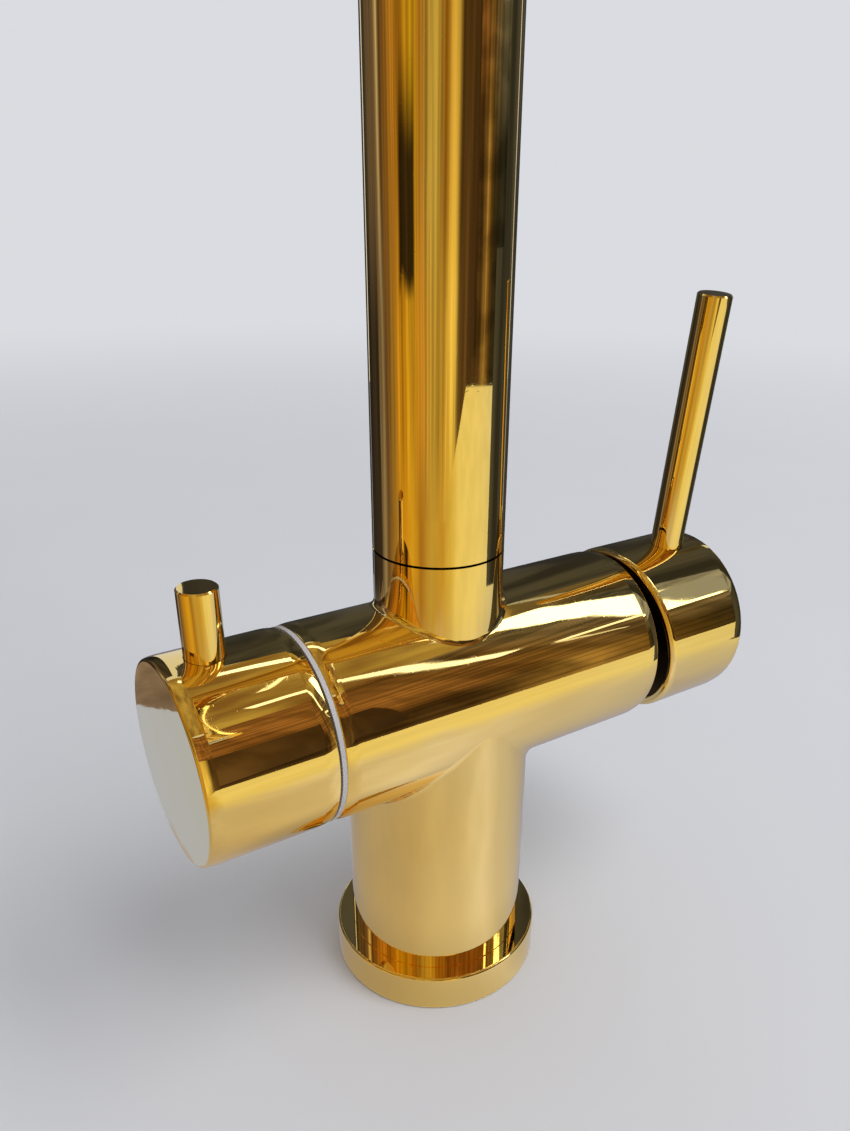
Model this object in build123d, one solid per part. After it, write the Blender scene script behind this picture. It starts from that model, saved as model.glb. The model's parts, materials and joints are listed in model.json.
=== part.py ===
"""Three way filtered water tap: swivel spout, mixer handle and filtered-water handle on one barrel.

Millimetres. +Z up, worktop at z = 0, column axis on Z, barrel along X, spout forward along -Y.
The filtered-water handle is on the -X end and the mixer handle on the +X end.
"""
import math
import os

from build123d import *

os.makedirs("parts", exist_ok=True)

# ---- clearances ----
RUNNING_GAP = 0.06
SEATED_GAP = 0.05
MOVING_GAP = 0.3
LAPPED_GAP = 0.05
BUSH_SEAT_GAP = 0.03

# ---- body ----
BARREL_RADIUS = 23.0
BARREL_HEIGHT = 81.0
BARREL_FILTER_END = -36.5
BARREL_MIXER_END = 52.5
BARREL_EDGE = 0.4
ROLL_LENGTH = 3.2
ROLL_DROP = 0.4
COLUMN_STEP_IN = 0.3
COLUMN_RADIUS = BARREL_RADIUS - COLUMN_STEP_IN
COLUMN_BORE_RADIUS = 18.0
COLUMN_FILLET = 3.0
RING_HEIGHT = 9.6
COLUMN_SHOULDER = RING_HEIGHT
FOOT_RADIUS = COLUMN_RADIUS - 2.2
FOOT_BOTTOM = 1.5
SPIGOT_RADIUS = 17.0
SPIGOT_BORE_RADIUS = 15.5
SPIGOT_DEPTH = 6.0
NECK_HEIGHT = 36.0
NECK_FLOOR_LIFT = 19.0
NECK_FLOOR = BARREL_HEIGHT + NECK_FLOOR_LIFT

# ---- inlet block, gasket and circlip ----
GASKET_THICKNESS = 1.0
BLOCK_HEIGHT = 14.0
BLOCK_CEILING_DROP = 13.0
BLOCK_CEILING = BARREL_HEIGHT - BLOCK_CEILING_DROP
BLOCK_TOP = BLOCK_CEILING - GASKET_THICKNESS
BLOCK_FACE = BLOCK_TOP - BLOCK_HEIGHT
BLOCK_BORE_START = BLOCK_FACE - 3.0
CIRCLIP_THICKNESS = 1.2
CIRCLIP_PLAY = 0.4
CIRCLIP_HEIGHT = BLOCK_FACE - CIRCLIP_PLAY - CIRCLIP_THICKNESS
CIRCLIP_INNER_RADIUS = 14.2
CIRCLIP_OUTER_RADIUS = 16.2
CIRCLIP_MOUTH_HALF = 6.0
CIRCLIP_EYE = (7.2, 11.6)
CIRCLIP_EYE_RADIUS = 2.2
CIRCLIP_EYE_HOLE_RADIUS = 0.9
PORT_RADIUS = 4.5
PORT_DEPTH = 10.0
HOT_PORT = (0.0, -9.0)
COLD_PORT = (8.5, 2.5)
FILTERED_PORT = (-8.5, 2.5)
WATERWAY_RADIUS = 3.3
MIXED_RISER_RADIUS = 2.6
MIXED_RISER_X = 8.0
CROSS_DRILL_LAP = 2.5

# ---- base ring and fixing ----
RING_RADIUS = COLUMN_RADIUS + 4.3
RING_EDGE_ROUND = 0.7
SEAL_WIDTH = 3.4
SEAL_OUTER_RADIUS = RING_RADIUS - 1.8
SEAL_INNER_RADIUS = SEAL_OUTER_RADIUS - SEAL_WIDTH
SEAL_THICKNESS = 1.6
STUD_RADIUS = 4.0
STUD_BACK = 11.0
STUD_BOTTOM = -62.0
STUD_HOLD = 10.0
STUD_TOP = BLOCK_CEILING + STUD_HOLD
WORKTOP_THICKNESS = 30.0
HORSESHOE_RADIUS = 24.0
HOSE_BAY_RADIUS = 5.3
HORSESHOE_TONGUE = 4.0
RUBBER_THICKNESS = 3.0
STEEL_THICKNESS = 2.5
NUT_ACROSS_FLATS = 13.0
NUT_HEIGHT = 8.0

# ---- spout ----
SPOUT_RADIUS = 15.0
SPOUT_BORE_RADIUS = 13.0
SPOUT_SEAM = BARREL_HEIGHT + NECK_HEIGHT
SPOUT_RISE = 168.0
SPOUT_BEND_START = SPOUT_SEAM + SPOUT_RISE
SPOUT_BEND_RADIUS = 100.0
SPOUT_DROP = 21.0
SPOUT_END = SPOUT_BEND_START - SPOUT_DROP
NECK_FILLET = 1.5
SWIVEL_RADIUS = 12.7
SWIVEL_BORE_RADIUS = 9.5
BUSH_HEIGHT = 5.5
BUSH_DEPTH = 1.2
LOWER_BUSH_BOTTOM = SPOUT_SEAM + 1.5
GRUB_RADIUS = 2.0
GRUB_GROOVE_DEPTH = 1.6
GRUB_HEIGHT = LOWER_BUSH_BOTTOM + BUSH_HEIGHT + GRUB_RADIUS + 2.5
SWIVEL_O_RING_RADIUS = 1.1
SWIVEL_O_RING_PITCH = 4.5
LOWER_O_RING_HEIGHT = GRUB_HEIGHT + GRUB_RADIUS + 3.0
UPPER_O_RING_HEIGHT = LOWER_O_RING_HEIGHT + SWIVEL_O_RING_PITCH
UPPER_BUSH_BOTTOM = UPPER_O_RING_HEIGHT + 3.5
SWIVEL_TOP = UPPER_BUSH_BOTTOM + BUSH_HEIGHT + 3.0

# ---- filtered water tube and outlet ----
INNER_TUBE_RADIUS = 3.2
INNER_TUBE_BORE = 2.2
INNER_TUBE_BOTTOM = NECK_FLOOR - 8.0
FILTERED_GALLERY_HEIGHT = INNER_TUBE_BOTTOM - 1.5
FILTERED_GALLERY_RADIUS = 2.2
INNER_O_RING_HEIGHT = NECK_FLOOR - 3.0
INNER_O_RING_RADIUS = 0.45
COLLAR_THREAD_HEIGHT = 7.0
COLLAR_FLANGE_HEIGHT = 6.0
COLLAR_BORE_RADIUS = 11.0
COLLAR_LIP_RADIUS = 9.8
COLLAR_LIP_HEIGHT = 1.0
AERATOR_HEIGHT = 8.0
AERATOR_SEAL_HEIGHT = 1.5
STREAM_HOLE_RADIUS = 0.7
NOZZLE_RADIUS = 4.0
NOZZLE_BORE_RADIUS = 2.5
NOZZLE_TOP_ABOVE_END = 22.0
NOZZLE_GRIP = 10.0

# ---- filtered-water handle and valve ----
SLIP_RING_THICKNESS = 1.0
SLIP_RING_RADIUS = BARREL_RADIUS - 0.3
SLIP_RING_BORE = 20.0
FILTER_KNOB_END = -66.2
FILTER_KNOB_WALL = 2.5
FILTER_KNOB_CAVITY_RADIUS = BARREL_RADIUS - FILTER_KNOB_WALL
FILTER_KNOB_CAVITY_DEPTH = 9.0
KNOB_EDGE = 0.7
PIN_X = -56.2
HANDLE_PIN_RADIUS = 4.25
HANDLE_PIN_SINK = 2.0
HANDLE_THREAD_RADIUS = 3.0
HANDLE_THREAD_LENGTH = 4.5
FILTER_PIN_LENGTH = 15.0
VALVE_CHAMBER_END = -18.0
VALVE_CHAMBER_RADIUS = 11.5
VALVE_CHAMBER_MOUTH = -29.0
VALVE_THREAD_RADIUS = 10.45
VALVE_TUBE_RADIUS = 9.3
VALVE_TUBE_BORE = 7.6
VALVE_TUBE_START = -19.5
VALVE_CAVITY_END = -27.6
VALVE_NOSE_END = -44.5
VALVE_NOSE_RADIUS = 7.5
VALVE_HEX_ACROSS_FLATS = 24.0
VALVE_HEX_THICKNESS = 4.5
DISC_THICKNESS = 2.5
DISC_PORT_RADIUS = 1.8
DISC_PORT_OFFSET = 3.9
SPINDLE_RADIUS = 5.0
SPINDLE_END = -59.5
SPINDLE_GROOVE_X = VALVE_NOSE_END + 6.5
SPINDLE_GROOVE_HALF = 1.2
SPINDLE_GROOVE_ROOT = 3.2
SPLINE_RADIUS = 4.0
SPLINE_SOCKET_END = -60.5
SEAT_SEAL_RADIUS = 7.0
SEAT_HOLE_RADIUS = 3.4

# ---- mixer handle ----
LEVER_FORWARD_TURN = 5.0
RIM_TOP_GAP = 2.2
RIM_BOTTOM_GAP = 9.0
RIM_ROUND = 1.5
MIXER_KNOB_END = 84.0
MIXER_KNOB_WALL = 1.9
MIXER_KNOB_FLOOR = 62.6
LEVER_X = 72.6
LEVER_LENGTH = 65.0
GRUB_SCREW_RADIUS = 3.0

# ---- mixing cartridge ----
CHAMBER_FLOOR = 20.0
CHAMBER_RADIUS = 17.7
NUT_SEAT = 44.5
NUT_THREAD_RADIUS = 20.0
CARTRIDGE_RADIUS = 17.5
CARTRIDGE_BORE = 15.0
CARTRIDGE_BASE_TOP = 24.5
CARTRIDGE_LIP_THICKNESS = 2.0
CARTRIDGE_LIP_BORE = 12.2
SUPPLY_PORT_SIDE = 6.5
SUPPLY_PORT_DROP = 6.0
MIXED_PORT_RISE = 9.0
PEG_RADIUS = 1.5
PEG_SIDE = 12.0
PEG_RISE = 3.0
PORT_SEAL_RADIUS = 5.0
PORT_SEAL_HOLE_RADIUS = 3.5
PORT_SEAL_THICKNESS = 1.2
FIXED_DISC_RADIUS = 14.8
FIXED_DISC_THICKNESS = 3.0
MOVING_DISC_RADIUS = 10.3
MOVING_DISC_THICKNESS = 3.0
MIXING_HOLLOW_RADIUS = 5.0
MIXING_HOLLOW_DEPTH = 1.5
MIXING_HOLLOW_RISE = 2.5
CARRIER_RADIUS = 11.5
CARRIER_HALF_WIDTH = 9.5
CARRIER_TOP = 35.0
CARRIER_FLOOR = 0.8
PIVOT_X = 41.0
STEM_LEAN = 10.0
STEM_SIDE = 8.0
STEM_LENGTH = 35.0
STEM_BALL_RADIUS = 3.0
STEM_BALL_DROP = 6.4
STEM_NECK_RADIUS = 2.5
PIVOT_PIN_RADIUS = 1.5
PIVOT_PIN_HALF_LENGTH = 11.0
ROTOR_RADIUS = 14.6
ROTOR_NECK_RADIUS = 11.9
ROTOR_NECK_END = 47.0
ROTOR_SLOT_HALF = 5.7
ROTOR_CHEEK_DEPTH = 4.0
NUT_THICKNESS = 5.5
NUT_BORE = 12.8
DOME_RADIUS = 19.5
DOME_WALL = 1.2
DOME_HOLE_RADIUS = 9.5
DOME_FLANGE = 1.4

AT_START = (Align.CENTER, Align.CENTER, Align.MIN)
TO_BARREL = Pos(0, 0, BARREL_HEIGHT)
TO_MIXER = TO_BARREL * Rot(LEVER_FORWARD_TURN, 0, 0)


def rod(radius, start, end, x=0.0, y=0.0):
    """An upright cylinder between two heights."""
    return Pos(x, y, start) * Cylinder(radius, end - start, align=AT_START)


def bar(radius, start, end, y=0.0, z=0.0):
    """A cylinder along X between two distances, about the barrel's own axis."""
    return Pos(start, y, z) * Rot(0, 90, 0) * Cylinder(radius, end - start, align=AT_START)


def rolled_bar(radius, start, end):
    """A bar along X whose two ends are polished down in a long soft curve."""
    low = radius - ROLL_DROP
    first = start + ROLL_LENGTH
    last = end - ROLL_LENGTH
    with BuildPart() as rolled:
        with BuildSketch(Plane.XY):
            with BuildLine():
                Line((start, 0), (start, low))
                TangentArc((first, radius), (start, low), tangent=(-1, 0))
                Line((first, radius), (last, radius))
                TangentArc((last, radius), (end, low), tangent=(1, 0))
                Line((end, low), (end, 0))
                Line((end, 0), (start, 0))
            make_face()
        revolve(axis=Axis.X)
    return rolled.part


def block(low, high):
    """A box between two corners."""
    size = [high[i] - low[i] for i in range(3)]
    middle = [(high[i] + low[i]) / 2 for i in range(3)]
    return Pos(*middle) * Box(*size)


def ring_round(major, minor):
    """A round-section ring lying flat at the origin."""
    return Torus(major, minor)


def mean(first, second):
    return (first + second) / 2


def edges_near(shape, low, high):
    """Edges whose middle lies between two heights."""
    return shape.edges().filter_by(lambda edge: low < edge.center().Z < high)


def narrower_than_barrel(edge):
    """Tells an edge that runs round the column from one at the barrel's ends."""
    box = edge.bounding_box()
    return box.min.X > -COLUMN_RADIUS - 1 and box.max.X < COLUMN_RADIUS + 1


def save(name, shape):
    """Write one node, with its solids kept apart."""
    solids = shape.solids()
    whole = solids[0] if len(solids) == 1 else Compound(children=list(solids))
    export_step(whole, f"parts/{name}.step")


# ---------------------------------------------------------------- body and base
def body_casting():
    column = rod(COLUMN_RADIUS, COLUMN_SHOULDER, BARREL_HEIGHT)
    column = chamfer(column.faces().sort_by(Axis.Z)[0].edges(), 0.25)
    barrel = TO_BARREL * rolled_bar(BARREL_RADIUS, BARREL_FILTER_END, BARREL_MIXER_END)
    outer = column + barrel
    barrel_bottom = BARREL_HEIGHT - BARREL_RADIUS
    crease = edges_near(outer, barrel_bottom - 1, BARREL_HEIGHT - 1).filter_by(narrower_than_barrel)
    outer = fillet(crease, COLUMN_FILLET)
    outer = outer + rod(SPOUT_RADIUS, BARREL_HEIGHT, SPOUT_SEAM - MOVING_GAP)
    barrel_top = BARREL_HEIGHT + BARREL_RADIUS
    neck_joint = edges_near(outer, BARREL_HEIGHT + SPOUT_RADIUS / 2, barrel_top + 1).filter_by(
        lambda edge: abs(edge.center().X) < SPOUT_RADIUS + 1
    )
    outer = fillet(neck_joint, NECK_FILLET)
    ends = outer.faces().filter_by(Axis.X)
    outer = fillet(ends.edges(), BARREL_EDGE)
    outer = outer + rod(FOOT_RADIUS, FOOT_BOTTOM, COLUMN_SHOULDER + 1)
    outer = outer + rod(SPIGOT_RADIUS, -SPIGOT_DEPTH, FOOT_BOTTOM + 1)
    outer = outer + rod(SWIVEL_RADIUS, SPOUT_SEAM - 1, SWIVEL_TOP)
    return outer - column_hollow() - waterways() - valve_pocket() - cartridge_pocket() - swivel_cuts()


def column_hollow():
    """Room for the hoses, and above it the stepped bore that holds the inlet block."""
    cuts = rod(COLUMN_BORE_RADIUS, FOOT_BOTTOM + 3, BLOCK_BORE_START)
    cuts += rod(SPIGOT_BORE_RADIUS, -SPIGOT_DEPTH - 1, BLOCK_CEILING)
    cuts += rod(CIRCLIP_OUTER_RADIUS + 0.1, CIRCLIP_HEIGHT - 0.05, CIRCLIP_HEIGHT + CIRCLIP_THICKNESS + 0.05)
    cuts += rod(STUD_RADIUS + SEATED_GAP, BLOCK_CEILING - 1, STUD_TOP + 1, 0, STUD_BACK)
    return cuts


def waterways():
    """Drillings from the inlets to the two valves, and from the valves to the spout."""
    supply = BARREL_HEIGHT - SUPPLY_PORT_DROP
    port_top = BLOCK_CEILING - 1
    cuts = rod(WATERWAY_RADIUS, port_top, supply, *HOT_PORT)
    cuts += rod(WATERWAY_RADIUS, port_top, supply, *COLD_PORT)
    cuts += rod(WATERWAY_RADIUS, port_top, BARREL_HEIGHT, *FILTERED_PORT)
    drill_end = CHAMBER_FLOOR + 1
    cold_start = COLD_PORT[0] - CROSS_DRILL_LAP
    cuts += TO_BARREL * bar(WATERWAY_RADIUS, 0, drill_end, -SUPPLY_PORT_SIDE, -SUPPLY_PORT_DROP)
    cuts += TO_BARREL * bar(WATERWAY_RADIUS, cold_start, drill_end, SUPPLY_PORT_SIDE, -SUPPLY_PORT_DROP)
    cuts += TO_BARREL * bar(SEAT_HOLE_RADIUS, VALVE_CHAMBER_END - 1, FILTERED_PORT[0])
    mixed = BARREL_HEIGHT + MIXED_PORT_RISE
    mixed_start = MIXED_RISER_X - CROSS_DRILL_LAP
    cuts += TO_BARREL * bar(WATERWAY_RADIUS, mixed_start, drill_end, 0, MIXED_PORT_RISE)
    cuts += rod(MIXED_RISER_RADIUS, mixed, NECK_FLOOR + 1, MIXED_RISER_X, 0)
    gallery_rise = FILTERED_GALLERY_HEIGHT - BARREL_HEIGHT
    cuts += TO_BARREL * bar(FILTERED_GALLERY_RADIUS, VALVE_CHAMBER_END - 1, 0, 0, gallery_rise)
    return cuts


def valve_pocket():
    cuts = bar(VALVE_CHAMBER_RADIUS, VALVE_CHAMBER_MOUTH, VALVE_CHAMBER_END)
    cuts += bar(VALVE_THREAD_RADIUS + SEATED_GAP, BARREL_FILTER_END - 1, VALVE_CHAMBER_END - 5)
    return TO_BARREL * cuts


def cartridge_pocket():
    cuts = bar(CHAMBER_RADIUS, CHAMBER_FLOOR, BARREL_MIXER_END + 1)
    cuts += bar(NUT_THREAD_RADIUS, NUT_SEAT, BARREL_MIXER_END + 1)
    for side in (-1, 1):
        y = side * PEG_SIDE
        cuts += bar(PEG_RADIUS + SEATED_GAP, CHAMBER_FLOOR - 2.5, CHAMBER_FLOOR + 1, y, PEG_RISE)
    return TO_BARREL * cuts


def swivel_cuts():
    """The spout's bore, its grooves, and the socket of the filtered-water tube."""
    cuts = rod(SWIVEL_BORE_RADIUS, NECK_FLOOR, SWIVEL_TOP + 1)
    cuts += rod(INNER_TUBE_RADIUS + RUNNING_GAP, FILTERED_GALLERY_HEIGHT, NECK_FLOOR + 1)
    groove = INNER_TUBE_RADIUS + RUNNING_GAP + 2 * INNER_O_RING_RADIUS
    half = INNER_O_RING_RADIUS + 0.1
    cuts += rod(groove, INNER_O_RING_HEIGHT - half, INNER_O_RING_HEIGHT + half)
    outside = rod(SWIVEL_RADIUS + 1, 0, SWIVEL_TOP)
    bush_root = SPOUT_BORE_RADIUS - RUNNING_GAP - BUSH_DEPTH
    for bottom in (LOWER_BUSH_BOTTOM, UPPER_BUSH_BOTTOM):
        band = rod(SWIVEL_RADIUS + 1, bottom - 0.05, bottom + BUSH_HEIGHT + 0.05)
        cuts += band - rod(bush_root, 0, SWIVEL_TOP)
    for height in (LOWER_O_RING_HEIGHT, UPPER_O_RING_HEIGHT):
        band = rod(SWIVEL_RADIUS + 1, height - 1.3, height + 1.3)
        cuts += band - rod(SPOUT_BORE_RADIUS - RUNNING_GAP - 2 * SWIVEL_O_RING_RADIUS, 0, SWIVEL_TOP)
    reach = GRUB_RADIUS + MOVING_GAP
    band = rod(SWIVEL_RADIUS + 1, GRUB_HEIGHT - reach, GRUB_HEIGHT + reach)
    cuts += band - rod(SWIVEL_RADIUS - GRUB_GROOVE_DEPTH, 0, SWIVEL_TOP)
    return cuts & (outside + rod(SWIVEL_BORE_RADIUS, 0, SWIVEL_TOP + 1))


def base_ring():
    """Ring with an upright wall, a soft edge and a flat top that carries the column."""
    ring = rod(RING_RADIUS, 0, RING_HEIGHT)
    ring = fillet(ring.faces().sort_by(Axis.Z)[-1].edges(), RING_EDGE_ROUND)
    ring -= rod(FOOT_RADIUS + 0.15, -1, RING_HEIGHT + 1)
    groove = rod(SEAL_OUTER_RADIUS + 0.1, -1, SEAL_THICKNESS)
    groove -= rod(SEAL_INNER_RADIUS - 0.1, -1, SEAL_THICKNESS)
    return ring - groove


def stud_notch(start, end):
    """Open slot that lets the stud pass at the back."""
    half = STUD_RADIUS + MOVING_GAP
    mouth = block((-half, STUD_BACK, start), (half, COLUMN_BORE_RADIUS, end))
    return rod(half, start, end, 0, STUD_BACK) + mouth


def inlet_block():
    block_shape = rod(SPIGOT_BORE_RADIUS - SEATED_GAP, BLOCK_FACE, BLOCK_TOP)
    for x, y in (HOT_PORT, COLD_PORT, FILTERED_PORT):
        block_shape -= rod(PORT_RADIUS, BLOCK_FACE - 1, BLOCK_FACE + PORT_DEPTH, x, y)
        block_shape -= rod(WATERWAY_RADIUS, BLOCK_FACE, BLOCK_TOP + 1, x, y)
    return block_shape - stud_notch(BLOCK_FACE - 1, BLOCK_TOP + 1)


def inlet_gasket():
    gasket = rod(SPIGOT_BORE_RADIUS - SEATED_GAP, BLOCK_TOP, BLOCK_CEILING)
    for x, y in (HOT_PORT, COLD_PORT, FILTERED_PORT):
        gasket -= rod(WATERWAY_RADIUS + 0.2, BLOCK_TOP - 1, BLOCK_CEILING + 1, x, y)
    return gasket - stud_notch(BLOCK_TOP - 1, BLOCK_CEILING + 1)


def inlet_circlip():
    top = CIRCLIP_HEIGHT + CIRCLIP_THICKNESS
    clip = rod(CIRCLIP_OUTER_RADIUS, CIRCLIP_HEIGHT, top)
    clip -= rod(CIRCLIP_INNER_RADIUS, CIRCLIP_HEIGHT - 1, top + 1)
    half = CIRCLIP_MOUTH_HALF
    mouth = block((-half, 0, CIRCLIP_HEIGHT - 1), (half, CIRCLIP_OUTER_RADIUS + 1, top + 1))
    clip -= mouth
    for side in (-1, 1):
        x, y = side * CIRCLIP_EYE[0], CIRCLIP_EYE[1]
        eye = rod(CIRCLIP_EYE_RADIUS, CIRCLIP_HEIGHT, top, x, y)
        eye -= rod(CIRCLIP_EYE_HOLE_RADIUS, CIRCLIP_HEIGHT - 1, top + 1, x, y)
        clip += eye & rod(CIRCLIP_OUTER_RADIUS, CIRCLIP_HEIGHT, top)
    return clip


def base_seal():
    return rod(SEAL_OUTER_RADIUS, 0, SEAL_THICKNESS) - rod(SEAL_INNER_RADIUS, -1, SEAL_THICKNESS + 1)


def fixing_stud():
    stud = rod(STUD_RADIUS, STUD_BOTTOM, STUD_TOP, 0, STUD_BACK)
    ends = stud.edges().filter_by(GeomType.CIRCLE)
    return chamfer(ends, 0.7)


def horseshoe(top, thickness):
    """Plate with a slot for the hoses: a round bay for each rear hose, and a tongue round the stud."""
    low = top - thickness - 1
    side = COLD_PORT[0]
    half = side + HOSE_BAY_RADIUS
    plate = rod(HORSESHOE_RADIUS, top - thickness, top)
    slot = block((-half, -HORSESHOE_RADIUS - 1, low), (half, COLD_PORT[1], top + 1))
    slot += block((-side, -HORSESHOE_RADIUS - 1, low), (side, HORSESHOE_TONGUE, top + 1))
    for x, y in (COLD_PORT, FILTERED_PORT):
        slot += rod(HOSE_BAY_RADIUS, low, top + 1, x, y)
    plate = plate - slot - rod(STUD_RADIUS + MOVING_GAP, low, top + 1, 0, STUD_BACK)
    return fillet(plate.edges().filter_by(Axis.Z).group_by(Axis.Y)[0], 1.5)


def fixing_nut():
    top = -WORKTOP_THICKNESS - RUBBER_THICKNESS - STEEL_THICKNESS
    hexagon = extrude(RegularPolygon(NUT_ACROSS_FLATS / 2, 6, major_radius=False), NUT_HEIGHT)
    nut = Pos(0, STUD_BACK, top - NUT_HEIGHT) * hexagon
    cone = Pos(0, STUD_BACK, top - NUT_HEIGHT / 2) * Cylinder(NUT_ACROSS_FLATS / 2 + 0.7, NUT_HEIGHT)
    nut = nut & chamfer(cone.edges().filter_by(GeomType.CIRCLE), 0.8)
    return nut - rod(STUD_RADIUS + SEATED_GAP, top - NUT_HEIGHT - 1, top + 1, 0, STUD_BACK)


# ---------------------------------------------------------------- spout
def swan_neck(radius, bottom, end):
    """A round pipe up the column axis, over a half circle and down to the outlet."""
    rise = rod(radius, bottom, SPOUT_BEND_START)
    start = Plane.XY.offset(SPOUT_BEND_START) * Circle(radius)
    bend_axis = Axis((0, -SPOUT_BEND_RADIUS, SPOUT_BEND_START), (1, 0, 0))
    bend = revolve(start, axis=bend_axis, revolution_arc=180)
    drop = rod(radius, end, SPOUT_BEND_START, 0, -2 * SPOUT_BEND_RADIUS)
    return rise + bend + drop


def spout_tube():
    tube = swan_neck(SPOUT_RADIUS, SPOUT_SEAM, SPOUT_END)
    tube = chamfer(tube.faces().sort_by(Axis.Z)[0].edges(), 0.25)
    tube = tube - swan_neck(SPOUT_BORE_RADIUS, SPOUT_SEAM - 1, SPOUT_END - 1)
    return tube - spout_grub_hole()


def spout_grub_hole():
    start = Pos(0, 0, GRUB_HEIGHT) * Rot(-90, 0, 0)
    return start * Cylinder(GRUB_RADIUS + SEATED_GAP, SPOUT_RADIUS + 2, align=AT_START)


def spout_grub_screw():
    tip = SWIVEL_RADIUS - GRUB_GROOVE_DEPTH + MOVING_GAP
    length = SPOUT_RADIUS - 0.3 - tip
    screw = Cylinder(GRUB_RADIUS, length, align=AT_START)
    socket = Pos(0, 0, length - 1.2) * extrude(RegularPolygon(1.0, 6, major_radius=False), 2)
    return Pos(0, 0, GRUB_HEIGHT) * Rot(-90, 0, 0) * Pos(0, 0, tip) * (screw - socket)


def spout_bushes():
    outer = SPOUT_BORE_RADIUS - RUNNING_GAP
    bushes = []
    for bottom in (LOWER_BUSH_BOTTOM, UPPER_BUSH_BOTTOM):
        bush = rod(outer, bottom, bottom + BUSH_HEIGHT)
        bush -= rod(outer - BUSH_DEPTH + BUSH_SEAT_GAP, 0, SWIVEL_TOP)
        split = block((-0.6, 0, bottom - 1), (0.6, SPOUT_RADIUS, bottom + BUSH_HEIGHT + 1))
        bushes.append(bush - split)
    return Compound(children=[solid for bush in bushes for solid in bush.solids()])


def spout_o_rings():
    major = SPOUT_BORE_RADIUS - RUNNING_GAP - SWIVEL_O_RING_RADIUS
    heights = (LOWER_O_RING_HEIGHT, UPPER_O_RING_HEIGHT)
    rings = [Pos(0, 0, height) * ring_round(major, SWIVEL_O_RING_RADIUS) for height in heights]
    return Compound(children=[solid for ring in rings for solid in ring.solids()])


def filtered_inner_tube():
    end = SPOUT_END + NOZZLE_TOP_ABOVE_END - NOZZLE_GRIP
    tube = swan_neck(INNER_TUBE_RADIUS, INNER_TUBE_BOTTOM, end)
    return tube - swan_neck(INNER_TUBE_BORE, INNER_TUBE_BOTTOM - 1, end - 1)


def inner_tube_o_ring():
    major = INNER_TUBE_RADIUS + RUNNING_GAP + INNER_O_RING_RADIUS
    return Pos(0, 0, INNER_O_RING_HEIGHT) * ring_round(major, INNER_O_RING_RADIUS)


def at_outlet(shape):
    return Pos(0, -2 * SPOUT_BEND_RADIUS, SPOUT_END) * shape


def nozzle_collar():
    collar = rod(SPOUT_RADIUS, -COLLAR_FLANGE_HEIGHT, -0.05)
    collar = chamfer(collar.faces().sort_by(Axis.Z)[0].edges(), 0.8)
    collar = chamfer(collar.faces().sort_by(Axis.Z)[-1].edges(), 0.25)
    collar += rod(SPOUT_BORE_RADIUS - SEATED_GAP, -1, COLLAR_THREAD_HEIGHT)
    collar -= rod(COLLAR_BORE_RADIUS, -COLLAR_FLANGE_HEIGHT + COLLAR_LIP_HEIGHT, COLLAR_THREAD_HEIGHT + 1)
    return at_outlet(collar - rod(COLLAR_LIP_RADIUS, -COLLAR_FLANGE_HEIGHT - 1, 0))


def aerator_insert():
    bottom = -COLLAR_FLANGE_HEIGHT + COLLAR_LIP_HEIGHT
    top = COLLAR_THREAD_HEIGHT
    insert = rod(COLLAR_BORE_RADIUS - SEATED_GAP, bottom, top)
    insert -= rod(NOZZLE_RADIUS + SEATED_GAP, bottom - 1, top + 1)
    insert -= rod(COLLAR_LIP_RADIUS, bottom + 3, top + 1) - rod(NOZZLE_RADIUS + 1.2, bottom, top + 1)
    for radius, count in ((5.6, 12), (8.0, 18)):
        for step in range(count):
            angle = 2 * math.pi * step / count
            x, y = radius * math.cos(angle), radius * math.sin(angle)
            insert -= rod(STREAM_HOLE_RADIUS, bottom - 1, bottom + 4, x, y)
    return at_outlet(insert)


def aerator_seal():
    top = COLLAR_THREAD_HEIGHT + AERATOR_SEAL_HEIGHT
    seal = rod(SPOUT_BORE_RADIUS - SEATED_GAP, COLLAR_THREAD_HEIGHT, top)
    return at_outlet(seal - rod(COLLAR_LIP_RADIUS, COLLAR_THREAD_HEIGHT - 1, top + 1))


def filtered_nozzle():
    bottom = -COLLAR_FLANGE_HEIGHT + 0.4
    nozzle = rod(NOZZLE_RADIUS, bottom, NOZZLE_TOP_ABOVE_END)
    nozzle += rod(NOZZLE_RADIUS + 1.5, COLLAR_THREAD_HEIGHT, COLLAR_THREAD_HEIGHT + 1.5)
    nozzle -= rod(NOZZLE_BORE_RADIUS, bottom - 1, NOZZLE_TOP_ABOVE_END + 1)
    grip_bottom = NOZZLE_TOP_ABOVE_END - NOZZLE_GRIP
    return at_outlet(nozzle - rod(INNER_TUBE_RADIUS + SEATED_GAP, grip_bottom, NOZZLE_TOP_ABOVE_END + 1))


# ---------------------------------------------------------------- filtered-water side
def filter_slip_ring():
    end = BARREL_FILTER_END - SLIP_RING_THICKNESS
    ring = bar(SLIP_RING_RADIUS, end, BARREL_FILTER_END) - bar(SLIP_RING_BORE, end - 1, 0)
    return TO_BARREL * ring


def handle_pin(x, length):
    """A plain pin sunk in a round seat, with a threaded end below it."""
    seat = BARREL_RADIUS - HANDLE_PIN_SINK
    pin = rod(HANDLE_PIN_RADIUS, seat, BARREL_RADIUS + length)
    pin = chamfer(pin.faces().sort_by(Axis.Z)[-1].edges(), 0.35)
    return Pos(x, 0, 0) * (pin + rod(HANDLE_THREAD_RADIUS, seat - HANDLE_THREAD_LENGTH, seat + 1))


def handle_pin_hole(x, bottom):
    seat = BARREL_RADIUS - HANDLE_PIN_SINK
    hole = rod(HANDLE_PIN_RADIUS + 0.1, seat, BARREL_RADIUS + 5)
    return Pos(x, 0, 0) * (hole + rod(HANDLE_THREAD_RADIUS + SEATED_GAP, bottom, BARREL_RADIUS + 1))


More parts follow.
